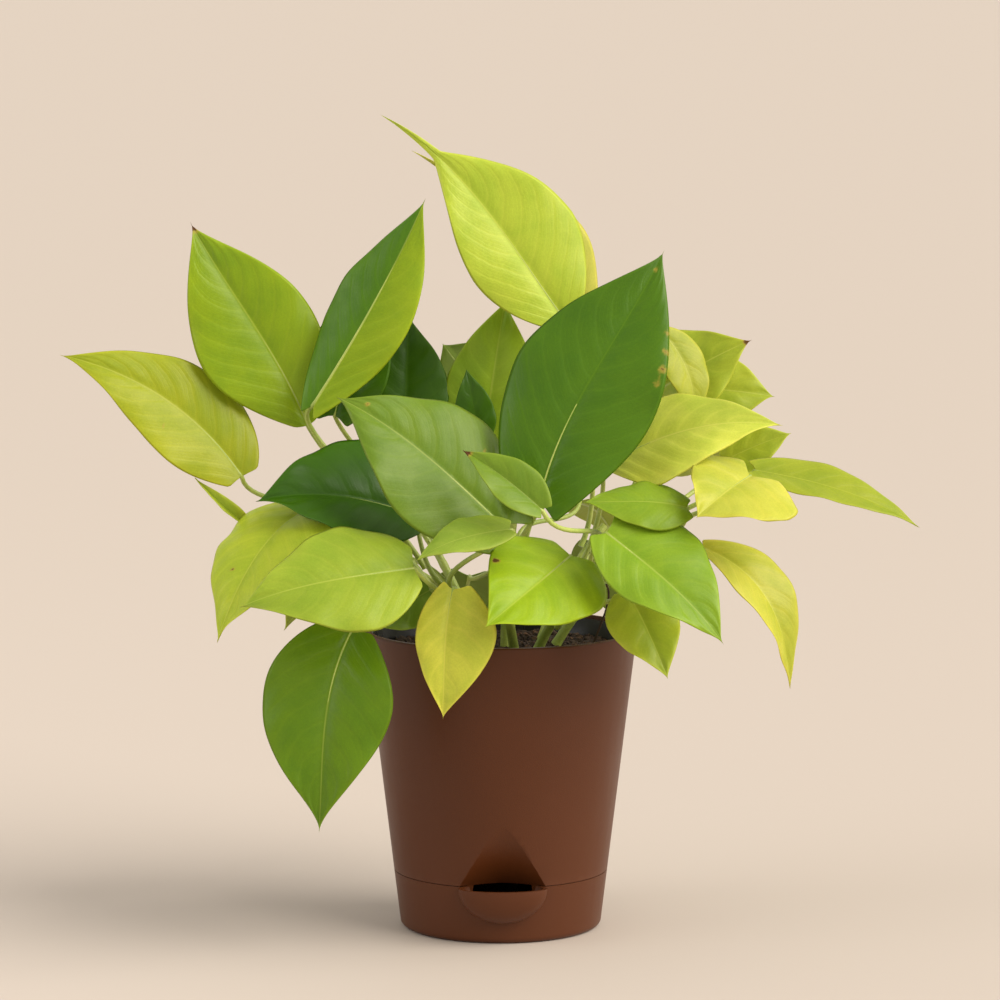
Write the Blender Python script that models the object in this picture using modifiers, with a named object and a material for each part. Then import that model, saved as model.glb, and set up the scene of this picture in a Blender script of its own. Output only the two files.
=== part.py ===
"""A potted pothos in a two-piece self-watering pot.

The pot stands on z = 0 with its axis on the z axis and its filler spout at the front, towards -Y.
Sizes are in millimetres, and MM turns them into metres. The heights of the plant's pieces are measured
from the surface of the soil, so the plant follows the pot.
"""

import math
from dataclasses import dataclass

import bmesh
import bpy
import numpy as np
from mathutils import Matrix

MM = 0.001
GAP = 0.3  # clearance between neighbouring pieces
OVERCUT = 1.5  # how far a cutter runs past the face that it opens

# The brown pot: an upper planter standing in a lower reservoir
POT_HEIGHT = 130.0
RIM_R = 59.2
FOOT_R = 43.5
FOOT_ROUND = 3.0
RIM_ROUND = 0.8
SEAM_Z = 24.8
WALL = 2.0
COLLAR_DEPTH = 5.0  # how far the planter reaches down into the reservoir
LEDGE_Z = 28.1  # top of the planter's inner ledge
LEDGE_WIDTH = 4.0

# The filler spout at the seam, and the niche scooped into the planter above it
SPOUT_HALF_WIDTH = 19.0
SPOUT_REACH = 9.0
SPOUT_DEPTH = 15.2
SPOUT_WALL = 1.6
NICHE_DEPTH = 11.0
NICHE_HEIGHT = 31.0
NICHE_BLEND = 0.25  # how far the niche's point starts outside the wall
NICHE_SPREAD = 1.15  # how far its cutter runs past its sides
NICHE_START = 0.05  # share of its size where the cutter starts
NICHE_ROWS = 9
NICHE_COLUMNS = 10
SPOUT_TURN = 1.1  # degrees to the right of the front

# The black inner pot with its wicking cup
INNER_WALL = 1.2
INNER_FLOOR = 1.5
INNER_DROP = 1.5  # its rim below the planter's rim
INNER_RIM_CLEARANCE = 0.6
INNER_FOOT_CLEARANCE = 1.2  # between the inner pot's foot and the niche's back
CUP_TOP_R = 14.0
CUP_FOOT_R = 11.0
CUP_FOOT_Z = 5.0
CUP_SLOTS = 6
CUP_SLOT_WIDTH = 3.0
CUP_SLOT_HEIGHT = 10.0

SOIL_DROP = 9.0  # the soil's surface below the planter's rim

# The plant
BLADE_THICKNESS = 0.7
PETIOLE_R = 1.0
RIB_DEPTH = 0.75  # how far the midrib stands out under the blade at its base
BLADE_TAPER = 0.3  # share of the thickness that the blade loses by its tip
PETIOLE_FLARE = 0.25  # share that a petiole is thicker at its foot
VINE_TAPER = 0.25
PETIOLE_STEPS = 6
BLADE_ROWS = 8
HALF_STRIPS = 2

DRIP_TIP = 0.06  # share of the width left to the drawn-out tip
LOBE_ROUNDING = 1.2
LOBE_FADE = 6
LOBE_START = 0.03  # where along the midrib the lobes are fully formed
ARRIVAL_LEAN = 0.45  # how far a petiole turns along the blade where it joins
DEPARTURE_LEAN = 0.15  # how far it turns away from its vine where it starts
JOINT_DROP = 0.6  # petiole radii below the midrib
ROW_SPREAD = 1.15  # closer rows near the base
TIP_T = 0.99  # the blade's last row
ROUND_STEPS = 44
ARC_STEPS = 4

SOIL_Z = POT_HEIGHT - SOIL_DROP

COLOURS = {
    "planter": ((0.085, 0.028, 0.011), 0.38),
    "inner": ((0.012, 0.011, 0.010), 0.32),
    "soil": ((0.045, 0.026, 0.015), 0.95),
    "vine": ((0.30, 0.42, 0.07), 0.45),
    "root": ((0.06, 0.035, 0.02), 0.8),
    "lime": ((0.46, 0.58, 0.04), 0.32),
    "yellow": ((0.66, 0.66, 0.08), 0.34),
    "green": ((0.20, 0.36, 0.03), 0.30),
    "dark": ((0.08, 0.20, 0.015), 0.28),
}


@dataclass
class Vine:
    """A short stem along a cubic curve: its two ends and two handles, heights above the soil."""

    name: str
    points: tuple
    radius: float = 2.2


@dataclass
class Leaf:
    """A blade and its petiole.

    base and tip are the ends of the midrib, face is the way the upper side looks, and bow and sway
    bend the midrib towards the face and to the right. fold lifts each half from the midrib, and curl
    bends it down again towards its edge, both in degrees. A pair gives the left and the right half.
    shoulder, rise, taper, tail, lobe and lean shape the outline.
    """

    name: str
    base: tuple
    tip: tuple
    face: tuple
    width: float
    vine: str
    along: float
    shade: str = "lime"
    bow: object = 0.08
    sway: object = 0.0
    fold: object = 14.0
    curl: object = 18.0
    shoulder: float = 0.32
    rise: float = 0.55
    taper: float = 1.3
    tail: float = 0.02
    lobe: float = 0.10
    lean: float = 0.0
    lift: float = 0.85
    start_reach: float = 0.4
    end_reach: float = 0.35


VINES = (
    Vine("vine_left", ((-16, -4, 1.3), (-22, -6, 19), (-38, -10, 39), (-52, -14, 55))),
    Vine("vine_front_left", ((-10, -20, 1.3), (-11, -24, 15), (-18, -36, 25), (-26, -46, 33))),
    Vine("vine_centre", ((6, -18, 1.3), (4, -24, 15), (2, -32, 27), (0, -38, 39))),
    Vine("vine_top", ((2, 0, 1.3), (2, 0, 29), (6, 2, 59), (8, 4, 87))),
    Vine("vine_right", ((16, -12, 1.3), (22, -16, 17), (32, -24, 27), (40, -30, 39)), 2.3),
    Vine("vine_far_right", ((24, 4, 1.3), (34, 2, 19), (50, -2, 37), (66, -6, 57))),
    Vine("vine_rear_left", ((-12, 16, 1.3), (-16, 22, 19), (-26, 32, 35), (-36, 40, 51))),
    Vine("vine_rear", ((2, 26, 1.3), (4, 32, 19), (6, 44, 35), (4, 54, 51))),
    Vine("vine_rear_right", ((18, 20, 1.3), (24, 26, 19), (34, 36, 35), (46, 42, 49))),
)

ROOTS = (
    Vine("aerial_root", ((38, -22, 1), (42, -26, 14), (49, -28, 26), (45, -26, 32)), 0.6),
)

# Heights are above the soil, and lengths are in millimetres.
LEAVES = (
    Leaf("leaf_far_left", base=(-111, -15, 77), tip=(-189, -12, 129), face=(10, -85, 50), width=44,
         vine="vine_left", along=0.95, shade="lime", bow=(0.02, 0.08), sway=(0.14, 0.11), fold=12,
         curl=22, lobe=0.05),
    Leaf("leaf_upper_left", base=(-83, -5, 98), tip=(-134, 8, 185), face=(-10, -90, 35), width=54,
         vine="vine_left", along=0.8, shade="lime", bow=(0.05, 0.03), sway=(0.05, -0.01),
         fold=(18, 12),
         curl=(24, 20), shoulder=0.42, rise=0.75, lobe=0.02, lean=-0.08),
    Leaf("leaf_top", base=(29, 0, 141), tip=(-52, 10, 231), face=(25, -90, 10), width=54,
         vine="vine_top", along=0.97, shade="lime", bow=(0.06, 0.08), sway=(0.02, 0.10), fold=14,
         curl=24, lean=0.12, tail=0.24, shoulder=0.32, taper=1.2, lobe=0.02, rise=0.7),
    Leaf("leaf_rolled", base=(-80, -20, 108), tip=(-32, -12, 196), face=(40, -90, 10), width=38,
         vine="vine_left", along=0.6, shade="green", bow=(0.02, 0.03), sway=(0.02, 0.02),
         fold=(-33, 24),
         curl=(30, -10), shoulder=0.45, rise=0.78),
    Leaf("leaf_dark_shoulder", base=(-72, 8, 101), tip=(-54, 18, 163), face=(-30, -90, 20),
         width=40, vine="vine_rear_left", along=0.7, shade="dark", bow=0.04, fold=10, curl=20),
    Leaf("leaf_dark_rear", base=(-42, 20, 93), tip=(-40, 35, 143), face=(0, -90, 30), width=38,
         vine="vine_rear_left", along=0.9, shade="dark", fold=10, curl=20),
    Leaf("leaf_mid_rear", base=(-7, 22, 91), tip=(2, 34, 150), face=(0, -90, 30), width=40,
         vine="vine_top", along=0.75, shade="lime", fold=10, curl=20),
    Leaf("leaf_small_dark", base=(-9, 0, 91), tip=(-15, 5, 122), face=(0, -90, 30), width=18,
         vine="vine_top", along=0.55, shade="dark", fold=10, curl=20),
    Leaf("leaf_big_dark", base=(16, -62, 71), tip=(69, -40, 176), face=(-10, -95, 25), width=64,
         vine="vine_centre", along=0.95, shade="dark", bow=(0.05, 0.06), sway=(-0.08, 0.02),
         fold=10, curl=22,
         shoulder=0.42, rise=0.6),
    Leaf("leaf_centre_left", base=(1, -60, 61), tip=(-69, -55, 115), face=(10, -80, 60), width=60,
         vine="vine_centre", along=0.75, shade="green", bow=(0.04, 0.12), sway=(0.02, 0.02),
         fold=12, curl=26,
         lobe=0.16, shoulder=0.38),
    Leaf("leaf_small_centre", base=(17, -86, 71), tip=(-16, -78, 95), face=(30, -70, 60), width=22,
         vine="vine_right", along=0.88, shade="green", bow=0.06, fold=(10, 40), curl=20,
         start_reach=0.75, lift=0.3),
    Leaf("leaf_dark_left", base=(-36, -29, 62), tip=(-104, -40, 69), face=(10, -55, 80), width=66,
         vine="vine_front_left", along=0.97, shade="dark", bow=(0.08, 0.14), sway=(0.04, 0.02),
         fold=(20, 22),
         curl=(30, 24)),
    Leaf("leaf_low_left", base=(-76, -24, 66), tip=(-119, -64, 12), face=(-50, -60, 60), width=60,
         vine="vine_left", along=0.5, shade="lime", bow=(0.24, 0.16), fold=(14, 10), curl=36,
         lobe=0.14),
    Leaf("leaf_curled_tip", base=(-108, -14, 55), tip=(-131, -18, 77), face=(30, -60, 60), width=9,
         vine="vine_rear_left", along=0.3, shade="lime", bow=0.05, sway=-0.1, fold=40, curl=10),
    Leaf("leaf_front_left", base=(-36, -80, 46), tip=(-108, -92, 31), face=(-10, -78, 65), width=54,
         vine="vine_front_left", along=0.8, shade="lime", bow=(0.05, 0.12), fold=10, curl=30,
         lobe=0.06),
    Leaf("leaf_hanging_left", base=(-62, -62, 18), tip=(-76, -78, -66), face=(-10, -95, 30),
         width=56, vine="vine_front_left", along=0.35, shade="lime", bow=(0.12, 0.08),
         sway=(0.1, 0.02), fold=14, curl=20, shoulder=0.38, lobe=0.05, taper=1.5),
    Leaf("leaf_front_yellow", base=(-20, -72, 36), tip=(-24, -84, -17), face=(-10, -95, 30),
         width=34, vine="vine_front_left", along=0.6, shade="lime", bow=0.1, sway=(0.04, 0),
         fold=12, curl=26, lean=-0.25, shoulder=0.36),
    Leaf("leaf_small_mid", base=(4, -79, 62), tip=(-35, -88, 50), face=(5, -60, 80), width=22,
         vine="vine_front_left", along=0.9, shade="green", bow=(0.1, 0.16), fold=8, curl=30,
         lean=0.2, end_reach=0.2, lift=0.3, start_reach=0.45),
    Leaf("leaf_bright_centre", base=(29.4, -58.3, 48.4), tip=(-7, -96, 23), face=(-15, -90, 40),
         width=54,
         vine="vine_right", along=0.35, shade="lime", bow=(0.1, 0.1), sway=(-0.04, -0.04), fold=10,
         curl=24, lobe=0.088, shoulder=0.3),
    Leaf("leaf_right_green", base=(44, -74, 60), tip=(92, -94, 16), face=(10, -75, 70), width=46,
         vine="vine_right", along=0.72, shade="green", bow=(0.06, 0.14), fold=12, curl=24,
         lean=-0.15),
    Leaf("leaf_small_right", base=(78, -62, 69), tip=(34, -68, 72), face=(0, -60, 80), width=30,
         vine="vine_right", along=0.97, shade="green", bow=(0.1, 0.02), fold=8, curl=36),
    Leaf("leaf_low_right", base=(54, -52, 31), tip=(70, -72, -2), face=(20, -90, 30), width=32,
         vine="vine_right", along=0.3, shade="lime", bow=0.08, fold=14, curl=20),
    Leaf("leaf_right_lime", base=(43, -35, 83), tip=(119, -46, 102), face=(5, -70, 75), width=46,
         vine="vine_right", along=0.65, shade="lime", bow=(0.12, 0.14), sway=(-0.04, -0.06),
         fold=10, curl=26, lobe=0, rise=0.9),
    Leaf("leaf_heart", base=(105, -48, 81), tip=(81, -80, 67), face=(-25, -90, 30), width=50,
         vine="vine_far_right", along=0.8, shade="lime", bow=0.06, fold=16, curl=22, lobe=0.2, lean=-0.2),
    Leaf("leaf_far_right", base=(109, -18, 80), tip=(179, -25, 56), face=(10, -50, 85), width=26,
         vine="vine_far_right", along=0.97, shade="lime", bow=(0.04, 0.08), sway=(-0.04, -0.04),
         fold=14, curl=14),
    Leaf("leaf_droop_right", base=(86, -38, 49), tip=(123, -42, -11), face=(70, -65, 40), width=32,
         vine="vine_far_right", along=0.5, shade="lime", bow=(0.34, 0.22), fold=20, curl=14,
         rise=0.8),
    Leaf("leaf_upper_right", base=(62, 2, 108), tip=(108, -5, 135), face=(0, -85, 50), width=44,
         vine="vine_far_right", along=0.65, shade="lime", bow=0.1, sway=(0, 0), fold=10, curl=20),
    Leaf("leaf_rear_right", base=(74, 14, 112), tip=(119, 10, 109), face=(30, -85, 40), width=40,
         vine="vine_far_right", along=0.35, shade="lime", bow=0.1, fold=10, curl=20),
    Leaf("leaf_curved_right", base=(70, -18, 138), tip=(82, -20, 99), face=(40, -80, 40), width=22,
         vine="vine_top", along=0.35, shade="yellow", bow=(0.1, 0.1), fold=10, curl=20,
         sway=(-0.12, -0.12)),
    Leaf("leaf_top_rear", base=(33, 26, 140), tip=(-39, 28, 215), face=(25, -90, 10), width=46,
         vine="vine_top", along=0.85, shade="yellow", sway=(0.02, 0.1), fold=12, tail=0.2, lean=0.2,
         rise=0.7),
    Leaf("leaf_low_centre", base=(-30, -54, 33), tip=(-54, -53, 17), face=(0, -80, 50), width=26,
         vine="vine_front_left", along=0.7, shade="green"),
    Leaf("leaf_tip_right", base=(98, 22, 80), tip=(127, 22, 92), face=(10, -80, 50), width=22,
         vine="vine_far_right", along=0.9, shade="lime"),
    # behind the plant
    Leaf("leaf_back_left", base=(-58, 46, 65), tip=(-96, 74, 59), face=(-10, 35, 90), width=48,
         vine="vine_rear_left", along=0.97, shade="lime", bow=(0.1, 0.16), fold=12, curl=24),
    Leaf("leaf_back_low_left", base=(-54, 52, 43), tip=(-98, 74, -3), face=(-40, 70, 55), width=46,
         vine="vine_rear_left", along=0.5, shade="lime", bow=(0.16, 0.1), fold=12, curl=26),
    Leaf("leaf_back_high", base=(-6, 44, 101), tip=(-26, 64, 128), face=(-10, 90, 35), width=52,
         vine="vine_rear", along=0.7, shade="green", bow=(0.06, 0.06), fold=14, curl=22),
    Leaf("leaf_back_middle", base=(2, 72, 75), tip=(4, 132, 67), face=(0, 45, 90), width=52,
         vine="vine_rear", along=0.97, shade="lime", bow=(0.08, 0.18), fold=12, curl=24),
    Leaf("leaf_back_low", base=(-14, 68, 23), tip=(-22, 92, -37), face=(-10, 90, 40), width=44,
         vine="vine_rear", along=0.5, shade="green", bow=(0.16, 0.1), fold=12, curl=24),
    Leaf("leaf_back_right", base=(70, 56, 71), tip=(126, 84, 65), face=(20, 50, 85), width=46,
         vine="vine_rear_right", along=0.97, shade="lime", bow=(0.1, 0.18), fold=12, curl=24),
    Leaf("leaf_back_low_right", base=(44, 62, 39), tip=(68, 92, -15), face=(30, 85, 40), width=44,
         vine="vine_rear_right", along=0.5, shade="green", bow=(0.16, 0.1), fold=12, curl=24),
    Leaf("leaf_back_tall_right", base=(38, 40, 105), tip=(56, 60, 158), face=(20, 90, 30), width=46,
         vine="vine_rear_right", along=0.75, shade="lime", bow=(0.06, 0.06), fold=14, curl=22),
    Leaf("leaf_rear_spread", base=(36, 84, 55), tip=(54, 134, 27), face=(20, 60, 75), width=36,
         vine="vine_rear", along=0.8, shade="lime", bow=(0.1, 0.14), fold=12, curl=22),
)


def vector(x, y, z):
    return np.array([x, y, z], float)


def unit(v):
    return v / np.linalg.norm(v)


def pair(value):
    return value if isinstance(value, tuple) else (value, value)


def above_soil(point):
    return vector(point[0], point[1], point[2] + SOIL_Z)


# ---- Scene, materials and plain Blender objects


def clear_scene():
    for obj in list(bpy.data.objects):
        bpy.data.objects.remove(obj, do_unlink=True)


def new_collection(name):
    collection = bpy.data.collections.new(name)
    bpy.context.scene.collection.children.link(collection)
    return collection


def material(name):
    found = bpy.data.materials.get(name)
    if found:
        return found
    colour, roughness = COLOURS[name]
    made = bpy.data.materials.new(name)
    made.use_nodes = True
    made.diffuse_color = (*colour, 1.0)
    shader = made.node_tree.nodes["Principled BSDF"]
    shader.inputs["Base Color"].default_value = (*colour, 1.0)
    shader.inputs["Roughness"].default_value = roughness
    shader.inputs["Metallic"].default_value = 0.0
    return made


def add_object(name, data, collection, colour=None):
    obj = bpy.data.objects.new(name, data)
    collection.objects.link(obj)
    if colour:
        data.materials.append(material(colour))
    else:
        obj.hide_render = True
        obj.display_type = "WIRE"
    return obj


def turned(name, profile, collection, colour=None):
    """A solid of revolution: the profile's outer side runs from its top down to its foot."""
    mesh = bpy.data.meshes.new(name)
    points = [(r * MM, 0.0, z * MM) for r, z in profile]
    edges = [(i, i + 1) for i in range(len(points) - 1)]
    mesh.from_pydata(points, edges, [])
    obj = add_object(name, mesh, collection, colour)
    screw = obj.modifiers.new("Turn", "SCREW")
    screw.steps = screw.render_steps = ROUND_STEPS
    screw.use_merge_vertices = True
    screw.merge_threshold = 1e-6
    screw.use_smooth_shade = True
    return obj


def ellipsoid(name, centre, radii, collection):
    mesh = bpy.data.meshes.new(name)
    form = bmesh.new()
    bmesh.ops.create_uvsphere(form, u_segments=24, v_segments=14, radius=1.0)
    place = Matrix.Translation([c * MM for c in centre])
    place = place @ Matrix.Rotation(math.radians(SPOUT_TURN), 4, "Z")
    stretch = Matrix.Diagonal([*(r * MM for r in radii), 1.0])
    bmesh.ops.transform(form, matrix=place @ stretch, verts=form.verts)
    form.to_mesh(mesh)
    form.free()
    return add_object(name, mesh, collection)


def scoop(name, skin, collection):
    """The solid in front of the niche's surface, set this much further into the pot. The niche deepens
    and widens from its point down to the seam, and goes straight on below it."""
    shares = [NICHE_START + (1 - NICHE_START) * i / NICHE_ROWS for i in range(NICHE_ROWS + 1)]
    levels = [(share, SEAM_Z + NICHE_HEIGHT * (1 - share)) for share in shares]
    levels.append((1.0, SEAM_Z - COLLAR_DEPTH - OVERCUT))
    form = bmesh.new()
    back, front = [], []
    for share, z in levels:
        for sheet in (back, front):
            sheet.append([])
        for k in range(NICHE_COLUMNS + 1):
            across = NICHE_SPREAD * (2 * k / NICHE_COLUMNS - 1)
            depth = NICHE_DEPTH * share**2 * (1 - across**2) - NICHE_BLEND * (1 - share)
            turn = math.radians(SPOUT_TURN) + across * share * SPOUT_HALF_WIDTH / outer_radius(SEAM_Z)
            for sheet, radius in (
                (back, outer_radius(z) - depth - skin),
                (front, outer_radius(z) + NICHE_DEPTH),
            ):
                place = (radius * MM * math.sin(turn), -radius * MM * math.cos(turn), z * MM)
                sheet[-1].append(form.verts.new(place))
    for sheet in (back, front):
        for above, below in zip(sheet, sheet[1:]):
            for k in range(NICHE_COLUMNS):
                form.faces.new((above[k], above[k + 1], below[k + 1], below[k]))
    for k in range(NICHE_COLUMNS):
        for row in (0, -1):
            form.faces.new((back[row][k], back[row][k + 1], front[row][k + 1], front[row][k]))
    for row in range(len(levels) - 1):
        for k in (0, -1):
            form.faces.new((back[row][k], back[row + 1][k], front[row + 1][k], front[row][k]))
    bmesh.ops.recalc_face_normals(form, faces=form.faces)
    mesh = bpy.data.meshes.new(name)
    form.to_mesh(mesh)
    form.free()
    return add_object(name, mesh, collection)


def box(name, centre, size, collection, turn=0.0):
    mesh = bpy.data.meshes.new(name)
    form = bmesh.new()
    bmesh.ops.create_cube(form, size=1.0)
    place = Matrix.Rotation(turn, 4, "Z") @ Matrix.Translation([c * MM for c in centre])
    stretch = Matrix.Diagonal([*(s * MM for s in size), 1.0])
    bmesh.ops.transform(form, matrix=place @ stretch, verts=form.verts)
    form.to_mesh(mesh)
    form.free()
    return add_object(name, mesh, collection)


def combine(obj, operation, other):
    step = obj.modifiers.new(other.name, "BOOLEAN")
    step.operation = operation
    step.object = other
    step.solver = "EXACT"


def arc(centre, radius, start, end, steps=ARC_STEPS):
    """Points of an arc in the profile's plane, with angles in degrees."""
    angles = [math.radians(start + (end - start) * i / steps) for i in range(steps + 1)]
    return [(centre[0] + radius * math.cos(a), centre[1] + radius * math.sin(a)) for a in angles]


# ---- Pot


def outer_radius(z):
    """The pot's straight outer taper."""
    return FOOT_R + (RIM_R - FOOT_R) * z / POT_HEIGHT


def spout_centre():
    turn = math.radians(SPOUT_TURN)
    radius = outer_radius(SEAM_Z)
    return (radius * math.sin(turn), -radius * math.cos(turn), SEAM_Z)


def add_reservoir(parts, cutters):
    """The lower tray with its spout, a bulging quarter round cup that opens into the tray."""
    outside = [(0, SEAM_Z), (outer_radius(SEAM_Z), SEAM_Z)]
    outside += arc((outer_radius(FOOT_ROUND) - FOOT_ROUND, FOOT_ROUND), FOOT_ROUND, 0, -90)
    outside += [(0, 0)]
    tray = turned("reservoir", outside, parts, "planter")
    open_z = SEAM_Z + OVERCUT
    inside = [(0, open_z), (outer_radius(open_z) - WALL, open_z)]
    round_z = WALL + FOOT_ROUND
    inside += arc((outer_radius(round_z) - WALL - FOOT_ROUND, round_z), FOOT_ROUND, 0, -90)
    inside += [(0, WALL)]
    hollow = turned("cut_reservoir_hollow", inside, cutters)
    radii = (SPOUT_HALF_WIDTH, SPOUT_REACH, SPOUT_DEPTH)
    spout = ellipsoid("form_spout", spout_centre(), radii, cutters)
    mouth = ellipsoid("cut_spout", spout_centre(), [r - SPOUT_WALL for r in radii], cutters)
    block = (3 * RIM_R, 3 * RIM_R, POT_HEIGHT)
    above = box("cut_above_seam", (0, 0, SEAM_Z + POT_HEIGHT / 2), block, cutters)
    combine(tray, "UNION", spout)
    combine(tray, "DIFFERENCE", hollow)
    combine(tray, "DIFFERENCE", mouth)
    combine(tray, "DIFFERENCE", above)


def add_planter(parts, cutters):
    """The upper shell: a tapered wall with a niche over the spout, an inner ledge and a collar."""
    low = SEAM_Z + GAP
    collar_foot = SEAM_Z - COLLAR_DEPTH
    collar_r = outer_radius(collar_foot) - WALL - GAP
    outside = [(0, POT_HEIGHT)]
    outside += arc((RIM_R - RIM_ROUND, POT_HEIGHT - RIM_ROUND), RIM_ROUND, 90, 0)
    outside += [(outer_radius(low), low), (collar_r, low), (collar_r, collar_foot), (0, collar_foot)]
    shell = turned("planter", outside, parts, "planter")
    hole_r = inner_foot_radius() - LEDGE_WIDTH
    inside = [
        (0, POT_HEIGHT + OVERCUT),
        (RIM_R - WALL, POT_HEIGHT + OVERCUT),
        (outer_radius(LEDGE_Z) - WALL, LEDGE_Z),
        (hole_r, LEDGE_Z),
        (hole_r, LEDGE_Z - WALL),
        (collar_r - WALL, LEDGE_Z - WALL),
        (collar_r - WALL, collar_foot - OVERCUT),
        (0, collar_foot - OVERCUT),
    ]
    hollow = turned("cut_planter_hollow", inside, cutters)
    niche_back = scoop("form_niche_back", WALL, cutters)
    block = (3 * RIM_R, 3 * RIM_R, POT_HEIGHT)
    below = box("cut_below_niche", (0, 0, SEAM_Z + GAP - POT_HEIGHT / 2), block, cutters)
    combine(niche_back, "DIFFERENCE", below)
    combine(hollow, "DIFFERENCE", niche_back)
    niche = scoop("cut_niche", 0.0, cutters)
    combine(shell, "DIFFERENCE", hollow)
    combine(shell, "DIFFERENCE", niche)


def inner_foot_radius():
    """The inner pot's foot stands clear of the niche's back."""
    return outer_radius(SEAM_Z) - NICHE_DEPTH - WALL - INNER_FOOT_CLEARANCE


def inner_radius(z):
    """The inner pot's outside, tapering from under the planter's rim to its foot on the ledge."""
    foot_z, rim_z = LEDGE_Z + GAP, POT_HEIGHT - INNER_DROP
    foot_r, rim_r = inner_foot_radius(), RIM_R - WALL - INNER_RIM_CLEARANCE
    return foot_r + (rim_r - foot_r) * (z - foot_z) / (rim_z - foot_z)


def add_inner_pot(parts, cutters):
    """The black pot that holds the soil, with a slotted wicking cup that reaches into the water."""
    foot_z, rim_z = LEDGE_Z + GAP, POT_HEIGHT - INNER_DROP
    floor_z = foot_z + INNER_FLOOR
    profile = [
        (0, CUP_FOOT_Z + INNER_WALL),
        (CUP_FOOT_R - INNER_WALL, CUP_FOOT_Z + INNER_WALL),
        (CUP_TOP_R - INNER_WALL, floor_z),
        (inner_radius(floor_z) - INNER_WALL, floor_z),
        (inner_radius(rim_z) - INNER_WALL, rim_z),
        (inner_radius(rim_z), rim_z),
        (inner_foot_radius(), foot_z),
        (CUP_TOP_R, foot_z),
        (CUP_FOOT_R, CUP_FOOT_Z),
        (0, CUP_FOOT_Z),
    ]
    pot = turned("inner_pot", profile, parts, "inner")
    slot_z = (CUP_FOOT_Z + foot_z) / 2
    for i in range(CUP_SLOTS):
        size = (CUP_TOP_R, CUP_SLOT_WIDTH, CUP_SLOT_HEIGHT)
        turn = 2 * math.pi * i / CUP_SLOTS
        slot = box(f"cut_cup_slot_{i}", (CUP_TOP_R, 0, slot_z), size, cutters, turn)
        combine(pot, "DIFFERENCE", slot)


def add_soil(parts):
    """Soil filling the inner pot and its wicking cup."""
    floor_z = LEDGE_Z + GAP + INNER_FLOOR
    inset = INNER_WALL + GAP
    profile = [
        (0, SOIL_Z),
        (inner_radius(SOIL_Z) - inset, SOIL_Z),
        (inner_radius(floor_z + GAP) - inset, floor_z + GAP),
        (CUP_TOP_R - inset, floor_z + GAP),
        (CUP_FOOT_R - inset, CUP_FOOT_Z + inset),
        (0, CUP_FOOT_Z + inset),
    ]
    turned("soil", profile, parts, "soil")


# ---- Plant


def bezier(points, t):
    a, b, c, d = points
    u = 1 - t
    return u**3 * a + 3 * u * u * t * b + 3 * u * t * t * c + t**3 * d


def bezier_direction(points, t):
    a, b, c, d = points
    u = 1 - t
    return unit(u * u * (b - a) + 2 * u * t * (c - b) + t * t * (d - c))


def vine_points(vine):
    return [above_soil(p) for p in vine.points]


def tube(name, points, radius, end_share, colour, parts):
    """A round stem along one cubic curve."""
    curve = bpy.data.curves.new(name, "CURVE")
    curve.dimensions = "3D"
    curve.bevel_depth = radius * MM
    curve.bevel_resolution = 2
    curve.resolution_u = 6
    curve.use_fill_caps = True
    spline = curve.splines.new("BEZIER")
    spline.bezier_points.add(1)
    first, last = spline.bezier_points
    places = [p * MM for p in points]
    first.co, first.handle_right = places[0], places[1]
    first.handle_left = 2 * places[0] - places[1]
    last.co, last.handle_left = places[3], places[2]
    last.handle_right = 2 * places[3] - places[2]
    last.radius = end_share
    add_object(name, curve, parts, colour)


class BladeShape:
    """Places on a leaf's upper side, by t along the midrib and q across it from -1 to 1."""

    def __init__(self, leaf):
        self.leaf = leaf
        base, tip = above_soil(leaf.base), above_soil(leaf.tip)
        self.face = unit(vector(*leaf.face))
        self.length = np.linalg.norm(tip - base)
        along = unit(tip - base)
        normal = unit(self.face - self.face.dot(along) * along)
        side = np.cross(along, normal)
        bends = [
            (normal * bow + side * sway) * self.length
            for bow, sway in zip(pair(leaf.bow), pair(leaf.sway))
        ]
        third = (tip - base) / 3
        self.midrib = [base, base + third + bends[0], base + 2 * third + bends[1], tip]

    def frame(self, t):
        along = bezier_direction(self.midrib, t)
        normal = unit(self.face - self.face.dot(along) * along)
        return bezier(self.midrib, t), along, np.cross(along, normal), normal

    def half_width(self, t):
        """Share of the greatest half width at t: a rounded base, a long curve and a drawn-out tip."""
        leaf = self.leaf
        if t < leaf.shoulder:
            return math.sin(math.pi / 2 * t / leaf.shoulder) ** leaf.rise
        u = min(1.0, (t - leaf.shoulder) / (1 - leaf.tail - leaf.shoulder))
        drip = DRIP_TIP * (1 - t) / (1 - leaf.shoulder)
        return drip + (1 - DRIP_TIP) * (1 - u * u) ** leaf.taper

    def point(self, t, q):
        leaf = self.leaf
        middle, along, side, normal = self.frame(t)
        hand = -1 if q < 0 else 1
        half = leaf.width / 2 * (1 + leaf.lean * hand)
        fold = math.radians(pair(leaf.fold)[q > 0])
        bend = math.radians(pair(leaf.curl)[q > 0]) / half
        reach = abs(q) * half * self.half_width(t)
        turned_by = fold - bend * reach
        if abs(bend * reach) < 1e-6:
            out, up = reach * math.cos(fold), reach * math.sin(fold)
        else:
            out = (math.sin(fold) - math.sin(turned_by)) / bend
            up = (math.cos(turned_by) - math.cos(fold)) / bend
        back = leaf.lobe * self.length * abs(q) ** LOBE_ROUNDING
        back *= (1 - t) ** LOBE_FADE * min(1.0, t / LOBE_START)
        place = middle - along * back + side * out * hand + normal * up
        return place, unit(normal * math.cos(turned_by) - side * hand * math.sin(turned_by))


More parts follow.
